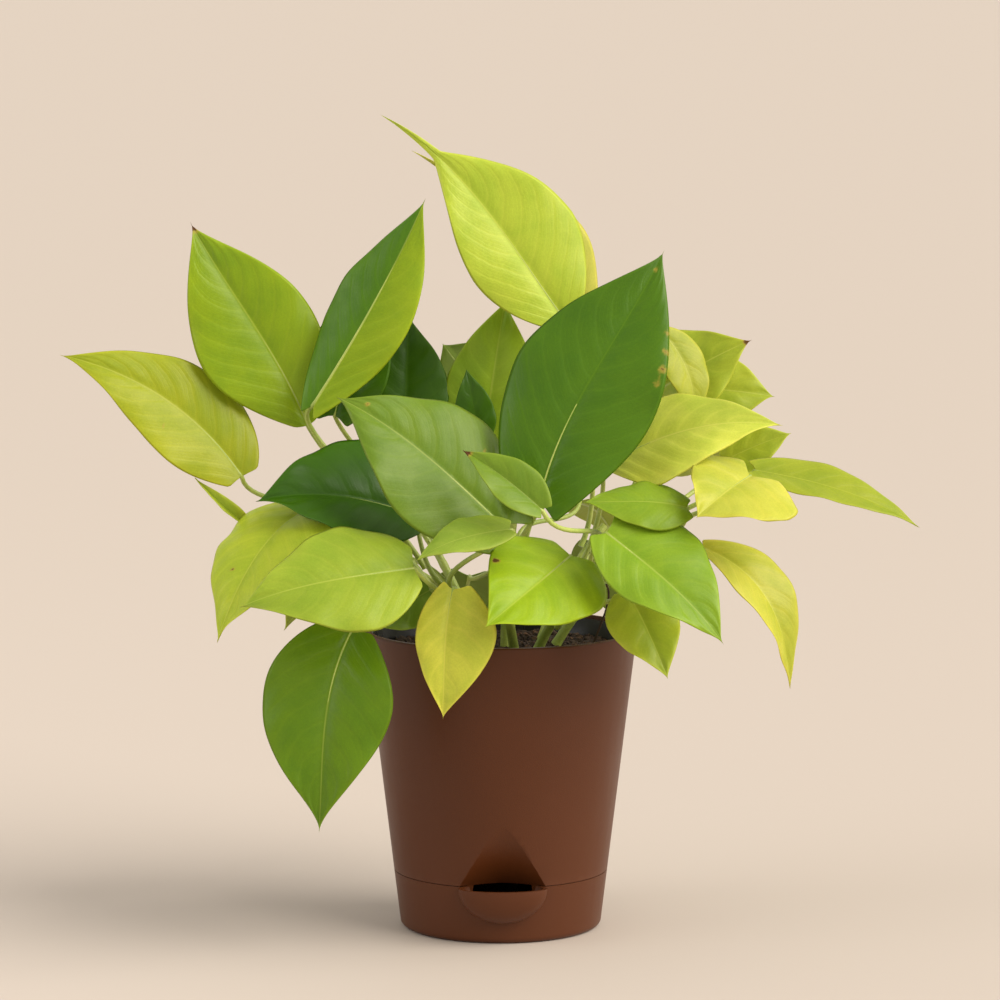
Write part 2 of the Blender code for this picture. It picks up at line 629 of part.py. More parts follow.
def petiole_points(leaf, shape, vines):
    """The petiole leaves its vine beside it and meets the blade from below."""
    _, along, _, normal = shape.frame(0.0)
    arrival = unit(ARRIVAL_LEAN * along + leaf.lift * normal)
    end = shape.midrib[0] - arrival * JOINT_DROP * PETIOLE_R
    vine = vines[leaf.vine]
    centre = bezier(vine_points(vine), leaf.along)
    growth = bezier_direction(vine_points(vine), leaf.along)
    out = end - centre
    out = unit(out - out.dot(growth) * growth)
    vine_r = vine.radius * (1 - VINE_TAPER * leaf.along)
    start = centre + out * (vine_r + PETIOLE_R * (1 + PETIOLE_FLARE) + GAP)
    reach = np.linalg.norm(end - start)
    departure = unit(growth + DEPARTURE_LEAN * out)
    leaving = start + departure * reach * leaf.start_reach
    return [start, leaving, end - arrival * reach * leaf.end_reach, end]


def petiole_rings(leaf, shape, vines, count):
    """Round sections from the vine to the blade, turned so that they line up with it."""
    points = petiole_points(leaf, shape, vines)
    side = shape.frame(0.0)[2]
    rings = []
    for i in range(PETIOLE_STEPS, -1, -1):
        t = i / PETIOLE_STEPS
        along = bezier_direction(points, t)
        side = unit(side - side.dot(along) * along)
        up = np.cross(side, along)
        radius = PETIOLE_R * (1 + PETIOLE_FLARE * (1 - t) ** 3)
        angles = [2 * math.pi * k / count for k in range(count)]
        centre = bezier(points, t)
        rings.append([centre + radius * (side * math.cos(a) + up * math.sin(a)) for a in angles])
    return rings[::-1]


def blade_ring(shape, t, count):
    """One section of the blade: over the upper side to the left edge and back along the lower side."""
    half = count // 2
    ring = []
    for k in range(count):
        upper = k < half
        q = 1 - 4 * k / count if upper else -1 + 4 * (k - half) / count
        place, normal = shape.point(t, q)
        thickness = BLADE_THICKNESS / 2 * (1 - BLADE_TAPER * t) * (1 - abs(q) ** 3)
        if upper:
            ring.append(place + normal * thickness)
        else:
            rib = RIB_DEPTH * (1 - t) * max(0.0, 1 - abs(q) * HALF_STRIPS)
            ring.append(place - normal * (thickness + rib))
    return ring


def loft(name, rings, colour, parts):
    """A closed solid through rings of as many points each, with flat ends."""
    form = bmesh.new()
    rows = [[form.verts.new(p * MM) for p in ring] for ring in rings]
    count = len(rows[0])
    for first, second in zip(rows, rows[1:]):
        for k in range(count):
            n = (k + 1) % count
            form.faces.new((first[k], second[k], second[n], first[n]))
    form.faces.new(rows[0])
    form.faces.new(rows[-1][::-1])
    bmesh.ops.triangulate(form, faces=form.faces)
    mesh = bpy.data.meshes.new(name)
    form.to_mesh(mesh)
    form.free()
    mesh.shade_smooth()
    add_object(name, mesh, parts, colour)


def add_leaf(leaf, vines, parts):
    """Petiole and blade in one piece, as they grow."""
    shape = BladeShape(leaf)
    count = 4 * HALF_STRIPS
    rings = petiole_rings(leaf, shape, vines, count)
    for row in range(1, BLADE_ROWS + 1):
        t = (row / BLADE_ROWS) ** ROW_SPREAD if row < BLADE_ROWS else TIP_T
        rings.append(blade_ring(shape, t, count))
    loft(leaf.name, rings, leaf.shade, parts)


def main():
    clear_scene()
    parts = new_collection("potted_pothos")
    cutters = new_collection("cutters")
    add_reservoir(parts, cutters)
    add_planter(parts, cutters)
    add_inner_pot(parts, cutters)
    add_soil(parts)
    vines = {vine.name: vine for vine in VINES}
    for vine in VINES:
        tube(vine.name, vine_points(vine), vine.radius, 1 - VINE_TAPER, "vine", parts)
    for root in ROOTS:
        tube(root.name, vine_points(root), root.radius, 1 - VINE_TAPER, "root", parts)
    for leaf in LEAVES:
        add_leaf(leaf, vines, parts)


main()
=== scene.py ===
"""Looks for a potted pothos in a two-piece self-watering pot, made around its fixed CAD frame.

Everything is in metres in the frame's own coordinates: the pot stands on z = 0 with its axis on z
and its filler spout towards -Y. The plant's tables are in millimetres, with heights above the soil,
and MM turns them into metres.
"""

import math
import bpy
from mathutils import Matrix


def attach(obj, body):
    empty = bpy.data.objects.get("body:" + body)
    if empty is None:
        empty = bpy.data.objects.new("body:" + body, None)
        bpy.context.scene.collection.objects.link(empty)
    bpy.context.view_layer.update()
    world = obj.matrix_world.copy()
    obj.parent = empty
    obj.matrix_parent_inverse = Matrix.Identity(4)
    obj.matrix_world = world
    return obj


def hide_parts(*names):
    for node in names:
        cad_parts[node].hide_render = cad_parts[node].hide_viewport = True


bl_info = {
    "name": "Potted Pothos",
    "version": (1, 0, 0),
    "blender": (4, 5, 0),
    "location": "3D View > Sidebar > Pothos",
    "description": "Grows a lime-green pothos in a brown self-watering pot around its CAD frame",
    "category": "Add Mesh",
}

from dataclasses import dataclass

import bmesh
import bpy
import numpy as np
from bpy.props import FloatProperty, FloatVectorProperty, IntProperty, PointerProperty
from bpy.types import Operator, Panel, PropertyGroup
from mathutils import Matrix, Vector

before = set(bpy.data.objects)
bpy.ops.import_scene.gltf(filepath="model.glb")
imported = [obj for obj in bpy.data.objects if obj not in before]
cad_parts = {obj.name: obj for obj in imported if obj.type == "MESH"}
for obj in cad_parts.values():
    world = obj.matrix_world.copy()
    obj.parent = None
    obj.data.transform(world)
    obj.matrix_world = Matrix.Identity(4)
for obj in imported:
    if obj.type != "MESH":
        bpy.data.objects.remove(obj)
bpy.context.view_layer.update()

MM = 0.001
BODY = "root"

# ---- Pot sizes in millimetres, as in the CAD

GAP = 0.3
OVERCUT = 1.5
TOUCHING = 1e-6
POT_HEIGHT = 130.0
RIM_R = 59.2
FOOT_R = 43.5
FOOT_ROUND = 3.0
RIM_ROUND = 0.8
SEAM_Z = 24.8
WALL = 2.0
COLLAR_DEPTH = 5.0
LEDGE_Z = 28.1
LEDGE_WIDTH = 4.0
SPOUT_HALF_WIDTH = 19.0
SPOUT_REACH = 9.0
SPOUT_DEPTH = 15.2
SPOUT_WALL = 1.6
NICHE_DEPTH = 11.0
NICHE_HEIGHT = 31.0
NICHE_BLEND = 0.25
NICHE_SPREAD = 1.15
NICHE_START = 0.05
SPOUT_TURN = 1.1
INNER_WALL = 1.2
INNER_FLOOR = 1.5
INNER_DROP = 1.5
INNER_RIM_CLEARANCE = 0.6
INNER_FOOT_CLEARANCE = 1.2
CUP_TOP_R = 14.0
CUP_FOOT_R = 11.0
CUP_FOOT_Z = 5.0
CUP_SLOTS = 6
CUP_SLOT_WIDTH = 3.0
CUP_SLOT_HEIGHT = 10.0
SOIL_DROP = 9.0
SOIL_Z = POT_HEIGHT - SOIL_DROP
SOIL_HEAVE = 0.45
CRUMB_INSET = 1.2
CRUMB_LIFT = 0.25

# ---- Plant sizes, as in the CAD

PETIOLE_R = 1.0
PETIOLE_FLARE = 0.25
VINE_TAPER = 0.25
DRIP_TIP = 0.06
LOBE_ROUNDING = 1.2
LOBE_FADE = 6
LOBE_START = 0.03
ARRIVAL_LEAN = 0.45
DEPARTURE_LEAN = 0.15
JOINT_DROP = 0.6


@dataclass
class Vine:
    """A short stem along a cubic curve: its two ends and two handles, heights above the soil."""

    name: str
    points: tuple
    radius: float = 2.2


@dataclass
class Leaf:
    """A blade and its petiole.

    base and tip are the ends of the midrib, face is the way the upper side looks, and bow and
    sway bend the midrib towards the face and to the right, each a pair for its first and its
    second half. fold lifts each half of the blade from the midrib, and curl bends it down again
    towards its edge, both in degrees, each a pair for the left and the right half. shoulder,
    rise, taper, tail, lobe and lean shape the outline. lift, start_reach and end_reach shape the
    petiole: how steeply it meets the blade, and how far it runs straight on from either end.
    """

    name: str
    base: tuple
    tip: tuple
    face: tuple
    width: float
    vine: str
    along: float
    shade: str = "lime"
    bow: object = 0.08
    sway: object = 0.0
    fold: object = 14.0
    curl: object = 18.0
    shoulder: float = 0.32
    rise: float = 0.55
    taper: float = 1.3
    tail: float = 0.02
    lobe: float = 0.10
    lean: float = 0.0
    lift: float = 0.85
    start_reach: float = 0.4
    end_reach: float = 0.35


VINES = (
    Vine("vine_left", ((-16, -4, 1.3), (-22, -6, 19), (-38, -10, 39), (-52, -14, 55))),
    Vine("vine_front_left", ((-10, -20, 1.3), (-11, -24, 15), (-18, -36, 25), (-26, -46, 33))),
    Vine("vine_centre", ((6, -18, 1.3), (4, -24, 15), (2, -32, 27), (0, -38, 39))),
    Vine("vine_top", ((2, 0, 1.3), (2, 0, 29), (6, 2, 59), (8, 4, 87))),
    Vine("vine_right", ((16, -12, 1.3), (22, -16, 17), (32, -24, 27), (40, -30, 39)), 2.3),
    Vine("vine_far_right", ((24, 4, 1.3), (34, 2, 19), (50, -2, 37), (66, -6, 57))),
    Vine("vine_rear_left", ((-12, 16, 1.3), (-16, 22, 19), (-26, 32, 35), (-36, 40, 51))),
    Vine("vine_rear", ((2, 26, 1.3), (4, 32, 19), (6, 44, 35), (4, 54, 51))),
    Vine("vine_rear_right", ((18, 20, 1.3), (24, 26, 19), (34, 36, 35), (46, 42, 49))),
)

ROOTS = (
    Vine("aerial_root", ((38, -22, 1), (42, -26, 14), (49, -28, 26), (45, -26, 32)), 0.6),
)

# Heights are above the soil, and lengths are in millimetres.
LEAVES = (
    Leaf("leaf_far_left", base=(-111, -15, 77), tip=(-189, -12, 129), face=(10, -85, 50),
         width=44, vine="vine_left", along=0.95, bow=(0.02, 0.08), sway=(0.14, 0.11), fold=12,
         curl=22, lobe=0.05),
    Leaf("leaf_upper_left", base=(-83, -5, 98), tip=(-134, 8, 185), face=(-10, -90, 35),
         width=54, vine="vine_left", along=0.8, bow=(0.05, 0.03), sway=(0.05, -0.01),
         fold=(18, 12), curl=(24, 20), shoulder=0.42, rise=0.75, lobe=0.02, lean=-0.08),
    Leaf("leaf_top", base=(29, 0, 141), tip=(-52, 10, 231), face=(25, -90, 10), width=54,
         vine="vine_top", along=0.97, bow=(0.06, 0.08), sway=(0.02, 0.10), fold=14, curl=24,
         lean=0.12, tail=0.24, shoulder=0.32, taper=1.2, lobe=0.02, rise=0.7),
    Leaf("leaf_rolled", base=(-80, -20, 108), tip=(-32, -12, 196), face=(40, -90, 10), width=38,
         vine="vine_left", along=0.6, shade="green", bow=(0.02, 0.03), sway=(0.02, 0.02),
         fold=(-33, 24), curl=(30, -10), shoulder=0.45, rise=0.78),
    Leaf("leaf_dark_shoulder", base=(-72, 8, 101), tip=(-54, 18, 163), face=(-30, -90, 20),
         width=40, vine="vine_rear_left", along=0.7, shade="dark", bow=0.04, fold=10, curl=20),
    Leaf("leaf_dark_rear", base=(-42, 20, 93), tip=(-40, 35, 143), face=(0, -90, 30), width=38,
         vine="vine_rear_left", along=0.9, shade="dark", fold=10, curl=20),
    Leaf("leaf_mid_rear", base=(-7, 22, 91), tip=(2, 34, 150), face=(0, -90, 30), width=40,
         vine="vine_top", along=0.75, fold=10, curl=20),
    Leaf("leaf_small_dark", base=(-9, 0, 91), tip=(-15, 5, 122), face=(0, -90, 30), width=18,
         vine="vine_top", along=0.55, shade="dark", fold=10, curl=20),
    Leaf("leaf_big_dark", base=(16, -62, 71), tip=(69, -40, 176), face=(-10, -95, 25), width=64,
         vine="vine_centre", along=0.95, shade="dark", bow=(0.05, 0.06), sway=(-0.08, 0.02),
         fold=10, curl=22, shoulder=0.42, rise=0.6),
    Leaf("leaf_centre_left", base=(1, -60, 61), tip=(-69, -55, 115), face=(10, -80, 60),
         width=60, vine="vine_centre", along=0.75, shade="green", bow=(0.04, 0.12),
         sway=(0.02, 0.02), fold=12, curl=26, lobe=0.16, shoulder=0.38),
    Leaf("leaf_small_centre", base=(17, -86, 71), tip=(-16, -78, 95), face=(30, -70, 60),
         width=22, vine="vine_right", along=0.88, shade="green", bow=0.06, fold=(10, 40),
         curl=20, start_reach=0.75, lift=0.3),
    Leaf("leaf_dark_left", base=(-36, -29, 62), tip=(-104, -40, 69), face=(10, -55, 80),
         width=66, vine="vine_front_left", along=0.97, shade="dark", bow=(0.08, 0.14),
         sway=(0.04, 0.02), fold=(20, 22), curl=(30, 24)),
    Leaf("leaf_low_left", base=(-76, -24, 66), tip=(-119, -64, 12), face=(-50, -60, 60),
         width=60, vine="vine_left", along=0.5, bow=(0.24, 0.16), fold=(14, 10), curl=36,
         lobe=0.14),
    Leaf("leaf_curled_tip", base=(-108, -14, 55), tip=(-131, -18, 77), face=(30, -60, 60),
         width=9, vine="vine_rear_left", along=0.3, bow=0.05, sway=-0.1, fold=40, curl=10),
    Leaf("leaf_front_left", base=(-36, -80, 46), tip=(-108, -92, 31), face=(-10, -78, 65),
         width=54, vine="vine_front_left", along=0.8, bow=(0.05, 0.12), fold=10, curl=30,
         lobe=0.06),
    Leaf("leaf_hanging_left", base=(-62, -62, 18), tip=(-76, -78, -66), face=(-10, -95, 30),
         width=56, vine="vine_front_left", along=0.35, bow=(0.12, 0.08), sway=(0.1, 0.02),
         fold=14, curl=20, shoulder=0.38, lobe=0.05, taper=1.5),
    Leaf("leaf_front_yellow", base=(-20, -72, 36), tip=(-24, -84, -17), face=(-10, -95, 30),
         width=34, vine="vine_front_left", along=0.6, bow=0.1, sway=(0.04, 0), fold=12, curl=26,
         lean=-0.25, shoulder=0.36),
    Leaf("leaf_small_mid", base=(4, -79, 62), tip=(-35, -88, 50), face=(5, -60, 80), width=22,
         vine="vine_front_left", along=0.9, shade="green", bow=(0.1, 0.16), fold=8, curl=30,
         lean=0.2, end_reach=0.2, lift=0.3, start_reach=0.45),
    Leaf("leaf_bright_centre", base=(29.4, -58.3, 48.4), tip=(-7, -96, 23), face=(-15, -90, 40),
         width=54, vine="vine_right", along=0.35, bow=(0.1, 0.1), sway=(-0.04, -0.04), fold=10,
         curl=24, lobe=0.088, shoulder=0.3),
    Leaf("leaf_right_green", base=(44, -74, 60), tip=(92, -94, 16), face=(10, -75, 70), width=46,
         vine="vine_right", along=0.72, shade="green", bow=(0.06, 0.14), fold=12, curl=24,
         lean=-0.15),
    Leaf("leaf_small_right", base=(78, -62, 69), tip=(34, -68, 72), face=(0, -60, 80), width=30,
         vine="vine_right", along=0.97, shade="green", bow=(0.1, 0.02), fold=8, curl=36),
    Leaf("leaf_low_right", base=(54, -52, 31), tip=(70, -72, -2), face=(20, -90, 30), width=32,
         vine="vine_right", along=0.3, bow=0.08, fold=14, curl=20),
    Leaf("leaf_right_lime", base=(43, -35, 83), tip=(119, -46, 102), face=(5, -70, 75), width=46,
         vine="vine_right", along=0.65, bow=(0.12, 0.14), sway=(-0.04, -0.06), fold=10, curl=26,
         lobe=0, rise=0.9),
    Leaf("leaf_heart", base=(105, -48, 81), tip=(81, -80, 67), face=(-25, -90, 30), width=50,
         vine="vine_far_right", along=0.8, bow=0.06, fold=16, curl=22, lobe=0.2, lean=-0.2),
    Leaf("leaf_far_right", base=(109, -18, 80), tip=(179, -25, 56), face=(10, -50, 85), width=26,
         vine="vine_far_right", along=0.97, bow=(0.04, 0.08), sway=(-0.04, -0.04), fold=14,
         curl=14),
    Leaf("leaf_droop_right", base=(86, -38, 49), tip=(123, -42, -11), face=(70, -65, 40),
         width=32, vine="vine_far_right", along=0.5, bow=(0.34, 0.22), fold=20, curl=14,
         rise=0.8),
    Leaf("leaf_upper_right", base=(62, 2, 108), tip=(108, -5, 135), face=(0, -85, 50), width=44,
         vine="vine_far_right", along=0.65, bow=0.1, sway=(0, 0), fold=10, curl=20),
    Leaf("leaf_rear_right", base=(74, 14, 112), tip=(119, 10, 109), face=(30, -85, 40), width=40,
         vine="vine_far_right", along=0.35, bow=0.1, fold=10, curl=20),
    Leaf("leaf_curved_right", base=(70, -18, 138), tip=(82, -20, 99), face=(40, -80, 40),
         width=22, vine="vine_top", along=0.35, shade="yellow", bow=(0.1, 0.1), fold=10, curl=20,
         sway=(-0.12, -0.12)),
    Leaf("leaf_top_rear", base=(33, 26, 140), tip=(-39, 28, 215), face=(25, -90, 10), width=46,
         vine="vine_top", along=0.85, shade="yellow", sway=(0.02, 0.1), fold=12, tail=0.2,
         lean=0.2, rise=0.7),
    Leaf("leaf_low_centre", base=(-30, -54, 33), tip=(-54, -53, 17), face=(0, -80, 50), width=26,
         vine="vine_front_left", along=0.7, shade="green"),
    Leaf("leaf_tip_right", base=(98, 22, 80), tip=(127, 22, 92), face=(10, -80, 50), width=22,
         vine="vine_far_right", along=0.9),
    # behind the plant
    Leaf("leaf_back_left", base=(-58, 46, 65), tip=(-96, 74, 59), face=(-10, 35, 90), width=48,
         vine="vine_rear_left", along=0.97, bow=(0.1, 0.16), fold=12, curl=24),
    Leaf("leaf_back_low_left", base=(-54, 52, 43), tip=(-98, 74, -3), face=(-40, 70, 55),
         width=46, vine="vine_rear_left", along=0.5, bow=(0.16, 0.1), fold=12, curl=26),
    Leaf("leaf_back_high", base=(-6, 44, 101), tip=(-26, 64, 128), face=(-10, 90, 35), width=52,
         vine="vine_rear", along=0.7, shade="green", bow=(0.06, 0.06), fold=14, curl=22),
    Leaf("leaf_back_middle", base=(2, 72, 75), tip=(4, 132, 67), face=(0, 45, 90), width=52,
         vine="vine_rear", along=0.97, bow=(0.08, 0.18), fold=12, curl=24),
    Leaf("leaf_back_low", base=(-14, 68, 23), tip=(-22, 92, -37), face=(-10, 90, 40), width=44,
         vine="vine_rear", along=0.5, shade="green", bow=(0.16, 0.1), fold=12, curl=24),
    Leaf("leaf_back_right", base=(70, 56, 71), tip=(126, 84, 65), face=(20, 50, 85), width=46,
         vine="vine_rear_right", along=0.97, bow=(0.1, 0.18), fold=12, curl=24),
    Leaf("leaf_back_low_right", base=(44, 62, 39), tip=(68, 92, -15), face=(30, 85, 40),
         width=44, vine="vine_rear_right", along=0.5, shade="green", bow=(0.16, 0.1), fold=12,
         curl=24),
    Leaf("leaf_back_tall_right", base=(38, 40, 105), tip=(56, 60, 158), face=(20, 90, 30),
         width=46, vine="vine_rear_right", along=0.75, bow=(0.06, 0.06), fold=14, curl=22),
    Leaf("leaf_rear_spread", base=(36, 84, 55), tip=(54, 134, 27), face=(20, 60, 75), width=36,
         vine="vine_rear", along=0.8, bow=(0.1, 0.14), fold=12, curl=22),
)

# Colour of each leaf that differs from its kind's own colour, as linear red, green and blue
TINTS = {
    "leaf_far_left": (0.37, 0.43, 0.016),
    "leaf_upper_left": (0.26, 0.39, 0.007),
    "leaf_rolled": (0.27, 0.40, 0.010),
    "leaf_top": (0.48, 0.60, 0.048),
    "leaf_big_dark": (0.080, 0.195, 0.004),
    "leaf_centre_left": (0.165, 0.275, 0.018),
    "leaf_dark_left": (0.050, 0.150, 0.002),
    "leaf_low_left": (0.50, 0.61, 0.036),
    "leaf_front_left": (0.33, 0.45, 0.032),
    "leaf_hanging_left": (0.130, 0.250, 0.004),
    "leaf_front_yellow": (0.62, 0.65, 0.065),
    "leaf_bright_centre": (0.35, 0.52, 0.014),
    # partly painted sheen: this tint is raised towards a glossy highlight
    "leaf_small_mid": (0.32, 0.45, 0.045),
    "leaf_right_green": (0.25, 0.41, 0.018),
    "leaf_small_right": (0.24, 0.38, 0.016),
    # partly painted sheen: this tint is raised towards a glossy highlight
    "leaf_right_lime": (0.60, 0.68, 0.080),
    "leaf_heart": (0.56, 0.59, 0.060),
    "leaf_far_right": (0.36, 0.44, 0.024),
    "leaf_droop_right": (0.52, 0.54, 0.050),
    "leaf_curved_right": (0.42, 0.47, 0.035),
    "leaf_mid_rear": (0.35, 0.52, 0.028),
}

# Leaves whose left half has another colour: painted shade, darker for the rolled half that lies in
# shade
PAINTED_SHADE_LEFT_TINTS = {"leaf_rolled": (0.095, 0.23, 0.006)}

# Leaves whose drawn-out tip is broader, with its share of the width
TAILS = {"leaf_top": 0.22, "leaf_top_rear": 0.22}

# Leaves whose tips have dried, with the dry share of their length
DRY_TIPS = {
    "leaf_upper_left": 0.035,
    "leaf_small_centre": 0.07,
    "leaf_upper_right": 0.05,
    "leaf_big_dark": 0.012,
}

# Dry spots: leaf, place along the midrib, place across from -1 to 1, radius in millimetres, and
# how dry, up to about 0.5 for a yellowed patch and 1 for a dead one
DRY_SPOTS = (
    ("leaf_big_dark", 0.74, 0.96, 1.3, 0.50),
    ("leaf_big_dark", 0.68, 0.95, 1.8, 0.52),
    ("leaf_big_dark", 0.62, 0.92, 2.1, 0.53),
    ("leaf_big_dark", 0.57, 0.88, 1.8, 0.50),
    ("leaf_big_dark", 0.92, 0.10, 1.2, 0.42),
    ("leaf_centre_left", 0.30, 0.62, 1.2, 0.60),
    ("leaf_centre_left", 0.86, 0.45, 1.1, 0.60),
    ("leaf_bright_centre", 0.52, 0.86, 1.5, 0.9),
    ("leaf_far_left", 0.42, -0.55, 0.9, 0.55),
    ("leaf_low_left", 0.62, 0.30, 1.0, 0.7),
    ("leaf_back_middle", 0.66, -0.70, 2.0, 1.0),
)

# Roughness, and share of the pale rib colour in the midrib
DARK_FINISH = (0.32, 0.0)
PALE_FINISH = (0.35, 0.35)

RIB_COLOUR = (0.60, 0.66, 0.14)
UNDERSIDE_COLOUR = (0.42, 0.48, 0.14)
YELLOWED_COLOUR = (0.50, 0.36, 0.05)
DRY_COLOUR = (0.13, 0.048, 0.013)
ROOT_COLOURS = ((0.075, 0.042, 0.022), (0.03, 0.016, 0.009))
STEM_SHADE = (0.6, 0.75, 0.5)
THROUGH_SHARE = 0.22

# Fine mesh of a blade: places along the midrib, and across one half of it
ROWS = 60
HALF_COLUMNS = (
    0.0, 0.022, 0.05, 0.09, 0.15, 0.23, 0.32, 0.42, 0.52, 0.62, 0.72, 0.81, 0.89, 0.95, 1.0)
ROW_SPREAD = 1.25
VEIN_SWEEP = 0.27
VEIN_SWEEP_POWER = 1.35
VEIN_STAGGER = 0.42

# Fine shape of a blade in metres: the groove over its midrib with a raised line in it, and dents
GROOVE_DEPTH = 0.00045
GROOVE_R = 0.0016
RIDGE_HEIGHT = 0.00030
RIDGE_R = 0.0006
DENT_DEPTH = 0.0008

# Points along a petiole, and along the midrib with its two ends
PETIOLE_POINTS = 18
RIB_POINTS = 22
RIB_ENDS = (0.03, 0.90)


class PlantSettings(PropertyGroup):
    blade_thickness: FloatProperty(
        name="Blade Thickness", description="Thickness of a blade away from its midrib",
        default=0.0005, min=0.0002, max=0.002, precision=5, unit="LENGTH")
    vein_spacing: FloatProperty(
        name="Vein Spacing", description="Distance between side veins along the midrib",
        default=0.0105, min=0.003, max=0.03, precision=4, unit="LENGTH")
    quilting: FloatProperty(
        name="Quilting", description="How far the blade swells between its side veins",
        default=0.00042, min=0.0, max=0.002, precision=5, unit="LENGTH")
    edge_wave: FloatProperty(
        name="Edge Wave", description="Height of the slow waves along a blade's edge",
        default=0.0010, min=0.0, max=0.005, precision=4, unit="LENGTH")
    lime: FloatVectorProperty(
        name="Lime", description="Colour of lime leaves", subtype="COLOR",
        default=(0.40, 0.49, 0.030), min=0.0, max=1.0)
    yellow: FloatVectorProperty(
        name="Yellow", description="Colour of yellow leaves", subtype="COLOR",
        default=(0.52, 0.54, 0.070), min=0.0, max=1.0)
    green: FloatVectorProperty(
        name="Green", description="Colour of mid-green leaves", subtype="COLOR",
        default=(0.19, 0.31, 0.020), min=0.0, max=1.0)
    dark: FloatVectorProperty(
        name="Dark", description="Colour of dark green leaves", subtype="COLOR",
        default=(0.058, 0.155, 0.003), min=0.0, max=1.0)
    stem: FloatVectorProperty(
        name="Stem", description="Colour of stems and petioles", subtype="COLOR",
        default=(0.46, 0.54, 0.110), min=0.0, max=1.0)


class PotSettings(PropertyGroup):
    brown: FloatVectorProperty(
        name="Brown", description="Colour of the pot", subtype="COLOR",
        default=(0.084, 0.0225, 0.0050), min=0.0, max=1.0)
    roughness: FloatProperty(
        name="Roughness", description="Roughness of the brown plastic",
        default=0.42, min=0.0, max=1.0, subtype="FACTOR")
    grain: FloatProperty(
        name="Grain", description="Depth of the moulded grain",
        default=0.00005, min=0.0, max=0.001, precision=6, unit="LENGTH")
    edge: FloatProperty(
        name="Edge Rounding", description="Rounding of the pot's moulded edges",
        default=0.0004, min=0.0, max=0.001, precision=5, unit="LENGTH")
    black: FloatVectorProperty(
        name="Black", description="Colour of the inner pot", subtype="COLOR",
        default=(0.013, 0.012, 0.011), min=0.0, max=1.0)


class SoilSettings(PropertyGroup):
    crumbs: IntProperty(
        name="Crumbs", description="Crumbs of soil on each square metre of surface",
        default=330000, min=0, max=600000)
    crumb_size: FloatProperty(
        name="Crumb Size", description="Radius of a middling crumb",
        default=0.0011, min=0.0003, max=0.004, precision=4, unit="LENGTH")
    seed: IntProperty(name="Seed", description="Arrangement of the crumbs", default=7, min=0)
    colour: FloatVectorProperty(
        name="Colour", description="Colour of the soil", subtype="COLOR",
        default=(0.040, 0.023, 0.013), min=0.0, max=1.0)


class StageSettings(PropertyGroup):
    floor: FloatVectorProperty(
        name="Floor", description="Colour of the floor", subtype="COLOR",
        default=(0.585, 0.508, 0.436), min=0.0, max=1.0)
    ambient: FloatProperty(
        name="Ambient", description="Strength of the light from all round",
        default=0.66, min=0.0, max=5.0)
    key: FloatProperty(
        name="Key", description="Strength of the broad light from the right",
        default=3.7, min=0.0, max=20.0)
    fill: FloatProperty(
        name="Fill", description="Power of the soft light from the left",
        default=9.0, min=0.0, max=500.0, unit="POWER")


# ---- Numbers and vectors


def vector(x, y, z):
    return np.array([x, y, z], float)


def unit(v):
    return v / np.linalg.norm(v, axis=-1, keepdims=True)


def pair(value):
    return value if isinstance(value, tuple) else (value, value)


def above_soil(point):
    return vector(point[0], point[1], point[2] + SOIL_Z) * MM


def smooth_step(low, high, x):
    s = np.clip((x - low) / (high - low), 0.0, 1.0)
    return s * s * (3 - 2 * s)


def bezier(points, t):
    a, b, c, d = points
    t = np.asarray(t, float)[..., None]
    u = 1 - t
    return u**3 * a + 3 * u * u * t * b + 3 * u * t * t * c + t**3 * d


def bezier_direction(points, t):
    a, b, c, d = points
    t = np.asarray(t, float)[..., None]
    u = 1 - t
    return unit(u * u * (b - a) + 2 * u * t * (c - b) + t * t * (d - c))


# ---- Nodes


def add_node(tree, kind, inputs=None, **settings):
    """A node with its settings and its inputs, each a value or another node's output."""
    made = tree.nodes.new(kind)
    for name, value in settings.items():
        setattr(made, name, value)
    for name, value in (inputs or {}).items():
        feed(tree, made.inputs[name], value)
    return made


def feed(tree, socket, value):
    if isinstance(value, bpy.types.NodeSocket):
        tree.links.new(value, socket)
    else:
        socket.default_value = value


def calculate(tree, operation, a, b=0.0, clamp=False):
    made = add_node(tree, "ShaderNodeMath", {0: a, 1: b}, operation=operation, use_clamp=clamp)
    return made.outputs[0]


def multiply(tree, a, b):
    return calculate(tree, "MULTIPLY", a, b)


def add_up(tree, a, b):
    return calculate(tree, "ADD", a, b)


def spread(tree, value, reach):
    """A value from 0 to 1, moved to swing by half this reach either way."""
    return multiply(tree, calculate(tree, "SUBTRACT", value, 0.5), reach)


def squeeze(tree, where, share):
    """Places squeezed along z, which draws a pattern out lengthwise."""
    inputs = {"Vector": where, "Scale": (1.0, 1.0, share)}
    return add_node(tree, "ShaderNodeMapping", inputs).outputs[0]


def remap(tree, value, low, high, to_low=0.0, to_high=1.0):
    inputs = {
        "Value": value, "From Min": low, "From Max": high, "To Min": to_low, "To Max": to_high,
    }
    made = add_node(tree, "ShaderNodeMapRange", inputs, interpolation_type="SMOOTHSTEP")
    return made.outputs[0]


def mix_colours(tree, factor, a, b, blend="MIX"):
    a, b = ((*c[:3], 1.0) if isinstance(c, tuple) else c for c in (a, b))
    inputs = {0: factor, 6: a, 7: b}
    made = add_node(tree, "ShaderNodeMix", inputs, data_type="RGBA", blend_type=blend)
    return made.outputs[2]


def noise(tree, where, scale, detail=3.0, roughness=0.55):
    inputs = {"Vector": where, "Scale": scale, "Detail": detail, "Roughness": roughness}
    return add_node(tree, "ShaderNodeTexNoise", inputs).outputs["Fac"]


def attribute(tree, name, output="Fac"):
    return add_node(tree, "ShaderNodeAttribute", attribute_name=name).outputs[output]


def object_place(tree):
    return add_node(tree, "ShaderNodeTexCoord").outputs["Object"]


def bump(tree, height, strength=1.0):
    inputs = {"Strength": strength, "Distance": 1.0, "Height": height}
    return add_node(tree, "ShaderNodeBump", inputs).outputs[0]


